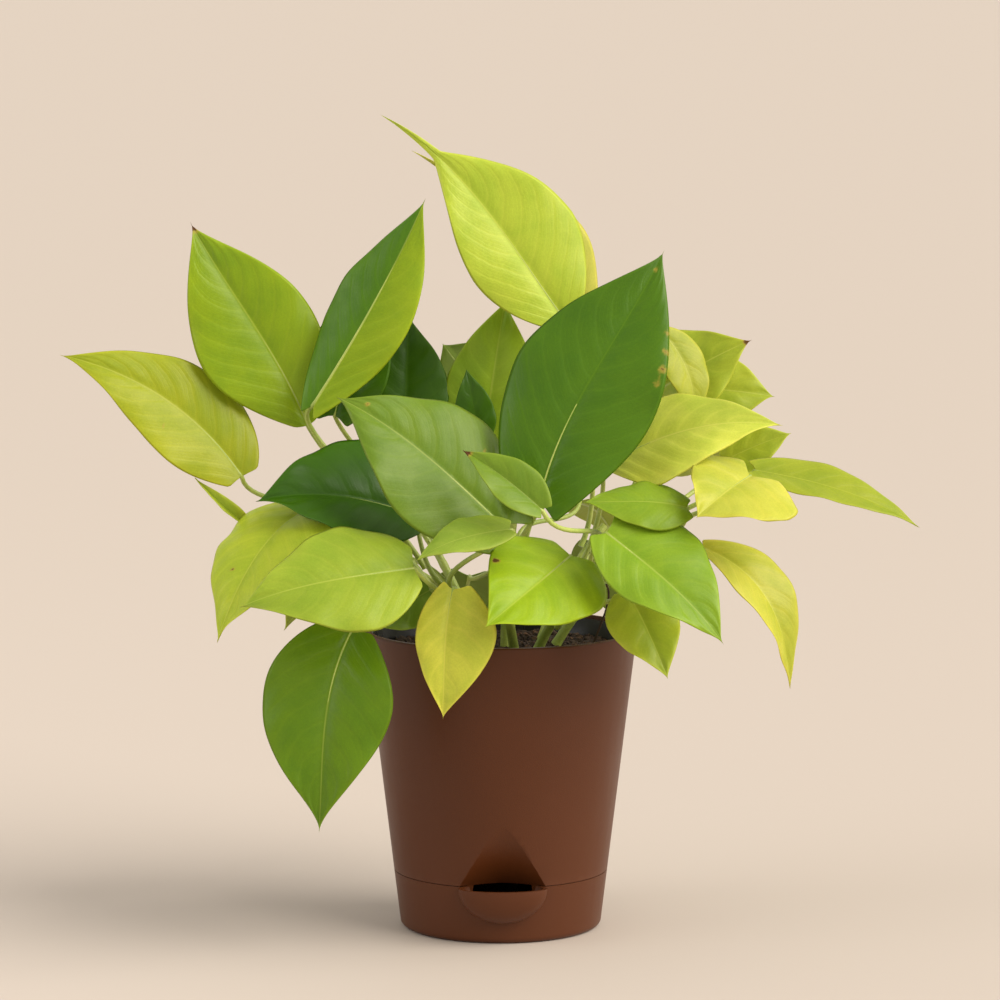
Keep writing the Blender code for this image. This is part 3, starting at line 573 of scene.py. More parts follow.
def new_group(name, inputs, outputs):
    """A shader group with named sockets: inputs are (name, kind, default), outputs (name, kind)."""
    group = bpy.data.node_groups.new(name, "ShaderNodeTree")
    for label, kind, default in inputs:
        socket = group.interface.new_socket(label, in_out="INPUT", socket_type=kind)
        if default is not None:
            socket.default_value = default
    for label, kind in outputs:
        group.interface.new_socket(label, in_out="OUTPUT", socket_type=kind)
    start = group.nodes.new("NodeGroupInput")
    end = group.nodes.new("NodeGroupOutput")
    return group, start.outputs, lambda label, value: group.links.new(value, end.inputs[label])


def place_group(tree, group, inputs):
    return add_node(tree, "ShaderNodeGroup", inputs, node_tree=group).outputs


def new_material(name):
    """A material, its tree and its Principled shader."""
    made = bpy.data.materials.new(name)
    made.use_nodes = True
    return made, made.node_tree, made.node_tree.nodes["Principled BSDF"]


FLOAT, COLOUR, VECTOR = "NodeSocketFloat", "NodeSocketColor", "NodeSocketVector"


def mottle_group():
    """Cloudy change of colour over a surface, in two sizes, with fine specks."""
    name = "Mottle"
    if name in bpy.data.node_groups:
        return bpy.data.node_groups[name]
    group, given, give = new_group(
        name,
        [("Vector", VECTOR, None), ("Colour", COLOUR, None), ("Second Colour", COLOUR, None),
         ("Amount", FLOAT, 0.5), ("Patch Scale", FLOAT, 60.0), ("Speck Scale", FLOAT, 900.0),
         ("Specks", FLOAT, 0.1)],
        [("Colour", COLOUR), ("Patches", FLOAT)],
    )
    broad = noise(group, given["Vector"], given["Patch Scale"], 4.0, 0.6)
    patches = remap(group, broad, 0.38, 0.66)
    fine = noise(group, given["Vector"], given["Speck Scale"], 2.0, 0.6)
    specks = remap(group, fine, 0.35, 0.7)
    share = multiply(group, patches, given["Amount"])
    clouded = mix_colours(group, share, given["Colour"], given["Second Colour"])
    low = calculate(group, "SUBTRACT", 1.0, given["Specks"])
    shade = add_node(group, "ShaderNodeMapRange", {"Value": specks, "To Min": low}).outputs[0]
    give("Colour", mix_colours(group, 1.0, clouded, shade, "MULTIPLY"))
    give("Patches", patches)
    return group


def vein_group():
    """Masks of a blade's midrib, side veins and edge from the distances that its mesh carries."""
    name = "Leaf Veins"
    if name in bpy.data.node_groups:
        return bpy.data.node_groups[name]
    group, given, give = new_group(
        name,
        [("Phase", FLOAT, 0.0), ("From Midrib", FLOAT, 0.0), ("From Edge", FLOAT, 1.0),
         ("Midrib Width", FLOAT, 0.7), ("Edge Width", FLOAT, 1.6), ("Wander", FLOAT, 0.5)],
        [("Midrib", FLOAT), ("Veins", FLOAT), ("Fine Veins", FLOAT), ("Edge", FLOAT)],
    )
    phase = add_up(group, given["Phase"], given["Wander"])
    fade = multiply(
        group,
        remap(group, given["From Edge"], 0.5, 5.0),
        remap(group, given["From Midrib"], 0.2, 1.2))
    for label, times, sharp in (("Veins", 1.0, 0.62), ("Fine Veins", 4.0, 0.5)):
        turned = calculate(group, "FRACT", multiply(group, phase, times))
        off = calculate(group, "ABSOLUTE", calculate(group, "SUBTRACT", turned, 0.5))
        near = remap(group, multiply(group, off, 2.0), sharp, 1.0)
        give(label, multiply(group, near, fade))
    rib = calculate(group, "DIVIDE", given["From Midrib"], given["Midrib Width"])
    give("Midrib", remap(group, rib, 1.0, 0.35))
    edge = calculate(group, "DIVIDE", given["From Edge"], given["Edge Width"])
    give("Edge", remap(group, edge, 1.0, 0.0))
    return group


def grain_group():
    """The fine grain, soft clouding, dust and streaky roughness of moulded plastic."""
    name = "Moulded Plastic"
    if name in bpy.data.node_groups:
        return bpy.data.node_groups[name]
    group, given, give = new_group(
        name,
        [("Vector", VECTOR, None), ("Colour", COLOUR, None), ("Roughness", FLOAT, 0.4),
         ("Grain Scale", FLOAT, 2600.0), ("Grain Depth", FLOAT, 0.00005), ("Dust", FLOAT, 0.15)],
        [("Colour", COLOUR), ("Roughness", FLOAT), ("Normal", VECTOR)],
    )
    cloud = noise(group, given["Vector"], 22.0, 4.0, 0.6)
    grain = noise(group, given["Vector"], given["Grain Scale"], 2.0, 0.5)
    streaks = noise(group, squeeze(group, given["Vector"], 0.12), 260.0, 3.0, 0.5)
    lighter = mix_colours(group, 1.0, given["Colour"], (1.35, 1.32, 1.3), "MULTIPLY")
    dusty = multiply(group, remap(group, cloud, 0.4, 0.75), given["Dust"])
    pale = add_up(group, dusty, multiply(group, grain, 0.12))
    give("Colour", mix_colours(group, pale, given["Colour"], lighter))
    rough = add_up(group, given["Roughness"], spread(group, cloud, 0.22))
    give("Roughness", calculate(group, "ADD", rough, spread(group, streaks, 0.10), clamp=True))
    fine = multiply(group, grain, given["Grain Depth"])
    give("Normal", bump(group, add_up(group, fine, multiply(group, cloud, 0.0002))))
    return group


def plastic(name, colour, roughness, grain, dust):
    made, tree, shader = new_material(name)
    out = place_group(tree, grain_group(), {
        "Vector": object_place(tree), "Colour": (*colour, 1.0), "Roughness": roughness,
        "Grain Depth": grain, "Dust": dust})
    tree.links.new(out["Colour"], shader.inputs["Base Color"])
    tree.links.new(out["Roughness"], shader.inputs["Roughness"])
    tree.links.new(out["Normal"], shader.inputs["Normal"])
    shader.inputs["IOR"].default_value = 1.49
    shader.inputs["Specular IOR Level"].default_value = 0.3
    return made


def leaf_material(slot, gloss, rib_share):
    """A waxy blade: its own tint, paler ribs, an edge paled as painted glow of light through it, a
    duller underside and dry spots.
    """
    made, tree, shader = new_material(slot)
    where = object_place(tree)
    tint = attribute(tree, "tint", "Color")
    pale = mix_colours(tree, 1.0, tint, (1.30, 1.16, 1.5), "MULTIPLY")
    deep = mix_colours(tree, 1.0, tint, (0.70, 0.82, 0.55), "MULTIPLY")
    clouds = place_group(tree, mottle_group(), {
        "Vector": where, "Colour": tint, "Second Colour": deep, "Amount": 0.55,
        "Patch Scale": 70.0, "Speck Scale": 1500.0, "Specks": 0.10})
    wander = multiply(tree, noise(tree, where, 120.0, 2.0), 0.35)
    veins = place_group(tree, vein_group(), {
        "Phase": attribute(tree, "vein"), "From Midrib": attribute(tree, "rib"),
        "From Edge": attribute(tree, "edge"), "Midrib Width": attribute(tree, "rib_width"),
        "Wander": wander})
    colour = clouds["Colour"]
    # the Edge share paints a glow of light through the thin margin; the vein shares are the veins'
    # own paler colour
    for mask, share in (("Fine Veins", 0.08), ("Veins", 0.16), ("Edge", 0.45)):
        colour = mix_colours(tree, multiply(tree, veins[mask], share), colour, pale)
    ribs = mix_colours(tree, rib_share, pale, RIB_COLOUR)
    colour = mix_colours(tree, multiply(tree, veins["Midrib"], 0.6), colour, ribs)
    under = attribute(tree, "under")
    dull = mix_colours(tree, 0.45, colour, UNDERSIDE_COLOUR)
    colour = mix_colours(tree, multiply(tree, under, 0.6), colour, dull)
    ragged = add_up(tree, attribute(tree, "dry"), spread(tree, noise(tree, where, 700.0), 0.5))
    dry = remap(tree, ragged, 0.42, 0.62)
    yellowed = remap(tree, ragged, 0.12, 0.5)
    colour = mix_colours(tree, multiply(tree, yellowed, 0.7), colour, YELLOWED_COLOUR)
    colour = mix_colours(tree, dry, colour, DRY_COLOUR)
    tree.links.new(colour, shader.inputs["Base Color"])
    rough = add_up(tree, gloss, multiply(tree, clouds["Patches"], 0.10))
    rough = add_up(tree, rough, multiply(tree, under, 0.22))
    rough = calculate(tree, "ADD", rough, multiply(tree, dry, 0.25), clamp=True)
    tree.links.new(rough, shader.inputs["Roughness"])
    height = multiply(tree, veins["Veins"], -0.00005)
    height = add_up(tree, height, multiply(tree, veins["Fine Veins"], -0.00002))
    cells = noise(tree, where, 2200.0, 2.0, 0.6)
    height = add_up(tree, height, multiply(tree, cells, 0.00005))
    tree.links.new(bump(tree, height, 0.9), shader.inputs["Normal"])
    shader.inputs["IOR"].default_value = 1.45
    shader.inputs["Specular IOR Level"].default_value = 0.35
    through = add_node(tree, "ShaderNodeBsdfTranslucent", {"Color": pale})
    both = add_node(tree, "ShaderNodeMixShader", {
        0: THROUGH_SHARE, 1: shader.outputs[0], 2: through.outputs[0]})
    tree.links.new(both.outputs[0], tree.nodes["Material Output"].inputs["Surface"])
    return made


def stem_material(name, colour, second, gloss):
    made, tree, shader = new_material(name)
    where = object_place(tree)
    clouds = place_group(tree, mottle_group(), {
        "Vector": where, "Colour": (*colour, 1.0), "Second Colour": (*second, 1.0), "Amount": 0.6,
        "Patch Scale": 90.0, "Speck Scale": 1400.0, "Specks": 0.15})
    tree.links.new(clouds["Colour"], shader.inputs["Base Color"])
    rough = add_up(tree, gloss, multiply(tree, clouds["Patches"], 0.12))
    tree.links.new(rough, shader.inputs["Roughness"])
    fibres = noise(tree, squeeze(tree, where, 0.15), 1600.0, 2.0)
    height = multiply(tree, fibres, 0.00012)
    tree.links.new(bump(tree, height, 0.8), shader.inputs["Normal"])
    return made


def soil_material(name, colour):
    made, tree, shader = new_material(name)
    where = object_place(tree)
    tone = attribute(tree, "crumb_tone")
    light = tuple(min(1.0, 2.6 * c) for c in colour)
    clouds = place_group(tree, mottle_group(), {
        "Vector": where, "Colour": (*colour, 1.0), "Second Colour": (*light, 1.0), "Amount": 0.6,
        "Patch Scale": 350.0, "Speck Scale": 2600.0, "Specks": 0.45})
    pale = mix_colours(tree, 1.0, clouds["Colour"], (2.4, 2.1, 1.8), "MULTIPLY")
    colour_out = mix_colours(tree, remap(tree, tone, 0.55, 1.0), clouds["Colour"], pale)
    tree.links.new(colour_out, shader.inputs["Base Color"])
    shader.inputs["Roughness"].default_value = 0.92
    height = multiply(tree, noise(tree, where, 1500.0, 4.0, 0.7), 0.0006)
    tree.links.new(bump(tree, height, 0.9), shader.inputs["Normal"])
    return made


def kept(make, name, *values):
    """The material of this name, made on its first use."""
    return bpy.data.materials.get(name) or make(name, *values)


# ---- Geometry Nodes


def new_geometry_tree(name, inputs):
    tree = bpy.data.node_groups.new(name, "GeometryNodeTree")
    tree.interface.new_socket("Geometry", in_out="INPUT", socket_type="NodeSocketGeometry")
    for label, kind, default in inputs:
        socket = tree.interface.new_socket(label, in_out="INPUT", socket_type=kind)
        if default is not None:
            socket.default_value = default
    tree.interface.new_socket("Geometry", in_out="OUTPUT", socket_type="NodeSocketGeometry")
    start = tree.nodes.new("NodeGroupInput")
    end = tree.nodes.new("NodeGroupOutput")
    return tree, start.outputs, end.inputs["Geometry"]


def first_out(tree, kind, inputs, **settings):
    return add_node(tree, kind, inputs, **settings).outputs[0]


def joined(tree, *parts):
    """One real geometry from several."""
    join = tree.nodes.new("GeometryNodeJoinGeometry")
    for part in parts:
        tree.links.new(part, join.inputs[0])
    return first_out(tree, "GeometryNodeRealizeInstances", {0: join.outputs[0]})


def stalk_tree():
    """Round stalks along a mesh's loose edges, as thick as its points say, beside its faces."""
    name = "Stalks along Paths"
    if name in bpy.data.node_groups:
        return bpy.data.node_groups[name]
    tree, given, out = new_geometry_tree(name, [
        ("Sides", "NodeSocketInt", 12), ("Stalk Material", "NodeSocketMaterial", None)])
    radius = add_node(tree, "GeometryNodeInputNamedAttribute", {"Name": "stalk"}, data_type="FLOAT")
    thick = radius.outputs[0]
    on_path = add_node(tree, "FunctionNodeCompare", {0: thick, 1: 0.0}, operation="GREATER_THAN")
    parts = add_node(tree, "GeometryNodeSeparateGeometry", {
        0: given["Geometry"], 1: on_path.outputs[0]}).outputs
    curve = first_out(tree, "GeometryNodeMeshToCurve", {0: parts[0]})
    circle = first_out(tree, "GeometryNodeCurvePrimitiveCircle", {
        "Resolution": given["Sides"], "Radius": 1.0})
    stalk = first_out(tree, "GeometryNodeCurveToMesh", {
        "Curve": curve, "Profile Curve": circle, "Scale": thick, "Fill Caps": True})
    stalk = first_out(tree, "GeometryNodeSetShadeSmooth", {0: stalk})
    stalk = first_out(tree, "GeometryNodeSetMaterial", {
        "Geometry": stalk, "Material": given["Stalk Material"]})
    tree.links.new(joined(tree, stalk, parts[1]), out)
    return tree


def crumb_tree():
    """Crumbs of three lumpy shapes strewn over a surface, each with a tone of its own."""
    name = "Soil Crumbs"
    if name in bpy.data.node_groups:
        return bpy.data.node_groups[name]
    tree, given, out = new_geometry_tree(name, [
        ("Density", "NodeSocketFloat", 300000.0), ("Crumb Size", "NodeSocketFloat", 0.001),
        ("Seed", "NodeSocketInt", 0), ("Material", "NodeSocketMaterial", None)])
    shapes = tree.nodes.new("GeometryNodeJoinGeometry")
    place = tree.nodes.new("GeometryNodeInputPosition").outputs[0]
    for step in range(3):
        pebble = first_out(tree, "GeometryNodeMeshUVSphere", {
            "Segments": 7, "Rings": 5, "Radius": 1.0})
        where = first_out(tree, "ShaderNodeVectorMath", {
            0: place, 1: (step * 9.0, 0.0, 0.0)}, operation="ADD")
        lumps = first_out(tree, "ShaderNodeTexNoise", {
            "Vector": where, "Scale": 1.3, "Detail": 2.0})
        lumps = remap(tree, lumps, 0.25, 0.75, -0.55, 0.55)
        push = first_out(tree, "ShaderNodeVectorMath", {0: place, 3: lumps}, operation="SCALE")
        lumpy = first_out(tree, "GeometryNodeSetPosition", {"Geometry": pebble, "Offset": push})
        lumpy = first_out(tree, "GeometryNodeSetShadeSmooth", {0: lumpy, 2: step == 0})
        one = first_out(tree, "GeometryNodeGeometryToInstance", {0: lumpy})
        tree.links.new(one, shapes.inputs[0])
    spots = add_node(tree, "GeometryNodeDistributePointsOnFaces", {
        "Mesh": given["Geometry"], "Density": given["Density"], "Seed": given["Seed"]})
    chance = "FunctionNodeRandomValue"
    sizes = add_node(tree, chance, {2: 0.0, 3: 1.0, "Seed": 11}).outputs[1]
    sizes = calculate(tree, "POWER", sizes, 2.5)
    sizes = first_out(tree, "ShaderNodeMapRange", {"Value": sizes, "To Min": 0.45, "To Max": 1.9})
    sizes = multiply(tree, sizes, given["Crumb Size"])
    flat = first_out(tree, chance, {
        0: (0.7, 0.7, 0.45), 1: (1.3, 1.0, 0.9), "Seed": 12}, data_type="FLOAT_VECTOR")
    size = first_out(tree, "ShaderNodeVectorMath", {0: flat, 3: sizes}, operation="SCALE")
    turn = first_out(tree, chance, {
        0: (-0.6, -0.6, 0.0), 1: (0.6, 0.6, 6.283), "Seed": 13}, data_type="FLOAT_VECTOR")
    pick = add_node(tree, chance, {4: 0, 5: 2, "Seed": 14}, data_type="INT").outputs[2]
    strewn = first_out(tree, "GeometryNodeInstanceOnPoints", {
        "Points": spots.outputs[0], "Instance": shapes.outputs[0], "Pick Instance": True,
        "Instance Index": pick, "Rotation": turn, "Scale": size})
    tone = add_node(tree, chance, {2: 0.0, 3: 1.0, "Seed": 15}).outputs[1]
    toned = first_out(tree, "GeometryNodeStoreNamedAttribute", {
        "Geometry": strewn, "Name": "crumb_tone", "Value": tone},
        domain="INSTANCE", data_type="FLOAT")
    dressed = first_out(tree, "GeometryNodeSetMaterial", {
        "Geometry": joined(tree, toned, given["Geometry"]), "Material": given["Material"]})
    tree.links.new(dressed, out)
    return tree


def apply_tree(obj, tree, values):
    """Runs a Geometry Nodes tree on an object and keeps its result as a plain mesh."""
    step = obj.modifiers.new(tree.name, "NODES")
    step.node_group = tree
    for item in tree.interface.items_tree:
        if item.in_out == "INPUT" and item.name in values:
            step[item.identifier] = values[item.name]
    return settle(obj)


def settle(obj):
    """Replaces an object's mesh with what its modifiers make of it, and removes them."""
    bpy.context.view_layer.update()
    graph = bpy.context.evaluated_depsgraph_get()
    result = bpy.data.meshes.new_from_object(obj.evaluated_get(graph))
    obj.modifiers.clear()
    obj.data = result
    return obj


# ---- Objects


def add_piece(name, mesh):
    obj = bpy.data.objects.new(name, mesh)
    bpy.context.scene.collection.objects.link(obj)
    return obj


def add_form(name, form):
    mesh = bpy.data.meshes.new(name)
    form.to_mesh(mesh)
    form.free()
    return add_piece(name, mesh)


def stand_for(obj, slot, *nodes):
    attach(obj, BODY)
    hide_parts(*nodes)


# ---- Pot


def outer_radius(z):
    return FOOT_R + (RIM_R - FOOT_R) * z / POT_HEIGHT


def arc(centre, radius, start, end, steps=8):
    """Points of an arc in the profile's plane, with angles in degrees."""
    angles = [math.radians(start + (end - start) * i / steps) for i in range(steps + 1)]
    return [(centre[0] + radius * math.cos(a), centre[1] + radius * math.sin(a)) for a in angles]


def divided(profile, longest=4.0):
    """The profile with its long straight stretches split, so that cuts stay local."""
    out = [profile[0]]
    for (r0, z0), (r1, z1) in zip(profile, profile[1:]):
        steps = max(1, math.ceil(math.hypot(r1 - r0, z1 - z0) / longest))
        out += [
            (r0 + (r1 - r0) * k / steps, z0 + (z1 - z0) * k / steps) for k in range(1, steps + 1)
        ]
    return out


def lathe(name, profile, steps=176):
    """A closed solid of revolution. The profile starts and ends on the axis, outside downwards."""
    form = bmesh.new()
    angles = [2 * math.pi * k / steps for k in range(steps)]
    rows = []
    for r, z in profile:
        row = [(r * MM * math.cos(a), r * MM * math.sin(a), z * MM) for a in angles]
        on_axis = r < TOUCHING
        rows.append([form.verts.new(place) for place in ([(0, 0, z * MM)] if on_axis else row)])
    for upper, lower in zip(rows, rows[1:]):
        for k in range(steps):
            n = (k + 1) % steps
            turns = ((upper, k), (lower, k), (lower, n), (upper, n))
            corners = [row[i % len(row)] for row, i in turns]
            corners = [c for i, c in enumerate(corners) if c is not corners[i - 1]]
            form.faces.new(corners)
    return add_form(name, form)


def cutter(name, build, centre, size, turn):
    """A hidden solid: a ball or a cube of this size, turned about the pot's axis or its own."""
    form = bmesh.new()
    build(form)
    stretch = Matrix.Diagonal([*(s * MM for s in size), 1.0])
    place = Matrix.Translation([c * MM for c in centre])
    bmesh.ops.transform(form, matrix=place @ turn @ stretch, verts=form.verts)
    return add_form(name, form)


def ball(name, centre, radii):
    def build(form):
        bmesh.ops.create_uvsphere(form, u_segments=96, v_segments=64, radius=1.0)

    turn = Matrix.Rotation(math.radians(SPOUT_TURN), 4, "Z")
    return cutter(name, build, centre, radii, turn)


def scoop(name, skin, rows=48, columns=48):
    """The solid in front of the niche's surface, set this much further into the pot.

    The niche deepens and widens from its point down to the seam, and goes straight on below it.
    """
    shares = [NICHE_START + (1 - NICHE_START) * i / rows for i in range(rows + 1)]
    levels = [(share, SEAM_Z + NICHE_HEIGHT * (1 - share)) for share in shares]
    levels.append((1.0, SEAM_Z - COLLAR_DEPTH - OVERCUT))
    form = bmesh.new()
    back, front = [], []
    for share, z in levels:
        for sheet in (back, front):
            sheet.append([])
        for k in range(columns + 1):
            across = NICHE_SPREAD * (2 * k / columns - 1)
            depth = NICHE_DEPTH * share**2 * (1 - across**2) - NICHE_BLEND * (1 - share)
            width = share * SPOUT_HALF_WIDTH / outer_radius(SEAM_Z)
            turn = math.radians(SPOUT_TURN) + across * width
            for sheet, out in ((back, -depth - skin), (front, NICHE_DEPTH)):
                radius = (outer_radius(z) + out) * MM
                place = (radius * math.sin(turn), -radius * math.cos(turn), z * MM)
                sheet[-1].append(form.verts.new(place))
    for sheet in (back, front):
        for above, below in zip(sheet, sheet[1:]):
            for k in range(columns):
                form.faces.new((above[k], above[k + 1], below[k + 1], below[k]))
    for k in range(columns):
        for row in (0, -1):
            form.faces.new((back[row][k], back[row][k + 1], front[row][k + 1], front[row][k]))
    for row in range(len(levels) - 1):
        for k in (0, -1):
            form.faces.new((back[row][k], back[row + 1][k], front[row + 1][k], front[row][k]))
    bmesh.ops.recalc_face_normals(form, faces=form.faces)
    return add_form(name, form)


def block(name, centre, size, turn=0.0):
    spin = Matrix.Rotation(turn, 4, "Z")
    centre = spin @ Vector(centre)
    return cutter(name, lambda f: bmesh.ops.create_cube(f, size=1.0), centre, size, spin)


def combine(obj, steps):
    """Joins and cuts in order, and removes the solids that did it."""
    for operation, other in steps:
        step = obj.modifiers.new(other.name, "BOOLEAN")
        step.operation = operation
        step.object = other
        step.solver = "EXACT"
    settle(obj)
    for _, other in steps:
        bpy.data.objects.remove(other)
    return obj


def finish_moulding(obj, edge, coat):
    """Rounds the sharp edges a little, smooths the rest and dresses the piece."""
    bevel = obj.modifiers.new("Edges", "BEVEL")
    bevel.width = edge
    bevel.segments = 2
    bevel.limit_method = "ANGLE"
    bevel.angle_limit = math.radians(38)
    bevel.harden_normals = False
    settle(obj)
    obj.data.shade_smooth()
    obj.data.set_sharp_from_angle(angle=math.radians(40))
    obj.data.materials.clear()
    obj.data.materials.append(coat)


def spout_centre():
    turn = math.radians(SPOUT_TURN)
    radius = outer_radius(SEAM_Z)
    return (radius * math.sin(turn), -radius * math.cos(turn), SEAM_Z)


def inner_foot_radius():
    return outer_radius(SEAM_Z) - NICHE_DEPTH - WALL - INNER_FOOT_CLEARANCE


def inner_radius(z):
    foot_z, rim_z = LEDGE_Z + GAP, POT_HEIGHT - INNER_DROP
    foot_r, rim_r = inner_foot_radius(), RIM_R - WALL - INNER_RIM_CLEARANCE
    return foot_r + (rim_r - foot_r) * (z - foot_z) / (rim_z - foot_z)


def brown_plastic():
    settings = bpy.context.scene.pothos_pot
    return kept(
        plastic, "pot_plastic_look",
        tuple(settings.brown), settings.roughness, settings.grain, 0.12)


class POTHOS_OT_reservoir(Operator):
    """Turns the lower tray and joins its filler spout to it"""

    bl_idname = "pothos.reservoir"
    bl_label = "Reservoir"

    def execute(self, context):
        outside = [(0, SEAM_Z), (outer_radius(SEAM_Z), SEAM_Z)]
        outside += arc((outer_radius(FOOT_ROUND) - FOOT_ROUND, FOOT_ROUND), FOOT_ROUND, 0, -90)
        outside += [(0, 0)]
        tray = lathe("water_tray", divided(outside))
        open_z = SEAM_Z + OVERCUT
        inside = [(0, open_z), (outer_radius(open_z) - WALL, open_z)]
        round_z = WALL + FOOT_ROUND
        inside += arc((outer_radius(round_z) - WALL - FOOT_ROUND, round_z), FOOT_ROUND, 0, -90)
        inside += [(0, WALL)]
        radii = (SPOUT_HALF_WIDTH, SPOUT_REACH, SPOUT_DEPTH)
        block_size = (3 * RIM_R, 3 * RIM_R, POT_HEIGHT)
        combine(tray, [
            ("UNION", ball("form_spout", spout_centre(), radii)),
            ("DIFFERENCE", lathe("cut_hollow", divided(inside))),
            ("DIFFERENCE", ball("cut_spout", spout_centre(), [r - SPOUT_WALL for r in radii])),
            ("DIFFERENCE", block("cut_above_seam", (0, 0, SEAM_Z + POT_HEIGHT / 2), block_size)),
        ])
        finish_moulding(tray, context.scene.pothos_pot.edge, brown_plastic())
        stand_for(tray, "pot_plastic", "reservoir")
        return {"FINISHED"}


class POTHOS_OT_planter(Operator):
    """Turns the upper shell and scoops out the niche over the spout"""

    bl_idname = "pothos.planter"
    bl_label = "Planter"

    def execute(self, context):
        low = SEAM_Z + GAP
        collar_foot = SEAM_Z - COLLAR_DEPTH
        collar_r = outer_radius(collar_foot) - WALL - GAP
        outside = [(0, POT_HEIGHT)]
        outside += arc((RIM_R - RIM_ROUND, POT_HEIGHT - RIM_ROUND), RIM_ROUND, 90, 0)
        outside += [(outer_radius(low), low), (collar_r, low)]
        outside += [(collar_r, collar_foot), (0, collar_foot)]
        shell = lathe("brown_shell", divided(outside))
        hole_r = inner_foot_radius() - LEDGE_WIDTH
        hollow = lathe("cut_hollow", divided([
            (0, POT_HEIGHT + OVERCUT),
            (RIM_R - WALL, POT_HEIGHT + OVERCUT),
            (outer_radius(LEDGE_Z) - WALL, LEDGE_Z),
            (hole_r, LEDGE_Z),
            (hole_r, LEDGE_Z - WALL),
            (collar_r - WALL, LEDGE_Z - WALL),
            (collar_r - WALL, collar_foot - OVERCUT),
            (0, collar_foot - OVERCUT),
        ]))
        back = scoop("form_niche_back", WALL)
        block_size = (3 * RIM_R, 3 * RIM_R, POT_HEIGHT)
        below = block("cut_below_niche", (0, 0, low - POT_HEIGHT / 2), block_size)
        combine(back, [("DIFFERENCE", below)])
        combine(hollow, [("DIFFERENCE", back)])
        niche = scoop("cut_niche", 0.0)
        combine(shell, [("DIFFERENCE", hollow), ("DIFFERENCE", niche)])
        finish_moulding(shell, context.scene.pothos_pot.edge, brown_plastic())
        stand_for(shell, "pot_plastic", "planter")
        return {"FINISHED"}


class POTHOS_OT_inner_pot(Operator):
    """Turns the black inner pot with its slotted wicking cup"""

    bl_idname = "pothos.inner_pot"
    bl_label = "Inner Pot"

    def execute(self, context):
        foot_z, rim_z = LEDGE_Z + GAP, POT_HEIGHT - INNER_DROP
        floor_z = foot_z + INNER_FLOOR
        profile = [
            (0, CUP_FOOT_Z + INNER_WALL),
            (CUP_FOOT_R - INNER_WALL, CUP_FOOT_Z + INNER_WALL),
            (CUP_TOP_R - INNER_WALL, floor_z),
            (inner_radius(floor_z) - INNER_WALL, floor_z),
            (inner_radius(rim_z) - INNER_WALL, rim_z),
            (inner_radius(rim_z), rim_z),
            (inner_foot_radius(), foot_z),
            (CUP_TOP_R, foot_z),
            (CUP_FOOT_R, CUP_FOOT_Z),
            (0, CUP_FOOT_Z),
        ]
        pot = lathe("black_liner", divided(profile, 8.0), 144)
        slot_size = (CUP_TOP_R, CUP_SLOT_WIDTH, CUP_SLOT_HEIGHT)
        slot_place = (CUP_TOP_R, 0, (CUP_FOOT_Z + foot_z) / 2)
        turns = [2 * math.pi * i / CUP_SLOTS for i in range(CUP_SLOTS)]
        combine(pot, [
            ("DIFFERENCE", block(f"cut_slot_{i}", slot_place, slot_size, turn))
            for i, turn in enumerate(turns)
        ])
        colour = tuple(context.scene.pothos_pot.black)
        black = kept(plastic, "inner_plastic_look", colour, 0.30, 0.00003, 0.5)
        finish_moulding(pot, 0.0002, black)
        stand_for(pot, "inner_plastic", "inner_pot")
        return {"FINISHED"}


class POTHOS_OT_soil(Operator):
    """Fills the inner pot with soil and strews crumbs over it"""

    bl_idname = "pothos.soil"
    bl_label = "Soil"

    def execute(self, context):
        settings = context.scene.pothos_soil
        floor_z = LEDGE_Z + GAP + INNER_FLOOR
        inset = INNER_WALL + GAP
        top_r = inner_radius(SOIL_Z) - inset
        look = kept(soil_material, "soil_look", tuple(settings.colour))
        ground = lathe("soil_body", divided([
            (0, SOIL_Z),
            (top_r, SOIL_Z),
            (inner_radius(floor_z + GAP) - inset, floor_z + GAP),
            (CUP_TOP_R - inset, floor_z + GAP),
            (CUP_FOOT_R - inset, CUP_FOOT_Z + inset),
            (0, CUP_FOOT_Z + inset),
        ]), 120)
        heave = np.random.default_rng(settings.seed).uniform(-0.6, 0.6, 6)
        for v in ground.data.vertices:
            if v.co.z > (SOIL_Z - 0.1) * MM:
                x, y = v.co.x / MM, v.co.y / MM
                swell = math.sin(x / 9 + heave[0]) * math.cos(y / 11 + heave[1])
                swell += 0.5 * math.sin((x + y) / 5 + heave[2])
                v.co.z += SOIL_HEAVE * MM * swell
        ground.data.shade_smooth()
        ground.data.materials.append(look)
        stand_for(ground, "soil", "soil")
        form = bmesh.new()
        bmesh.ops.create_circle(
            form, cap_ends=True, segments=96, radius=(top_r - CRUMB_INSET) * MM,
            matrix=Matrix.Translation((0, 0, (SOIL_Z + CRUMB_LIFT) * MM)))
        crumbs = add_form("soil_crumbs", form)
        apply_tree(crumbs, crumb_tree(), {
            "Density": float(settings.crumbs), "Crumb Size": settings.crumb_size,
            "Seed": settings.seed, "Material": look})
        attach(crumbs, BODY)
        return {"FINISHED"}


# ---- Plant


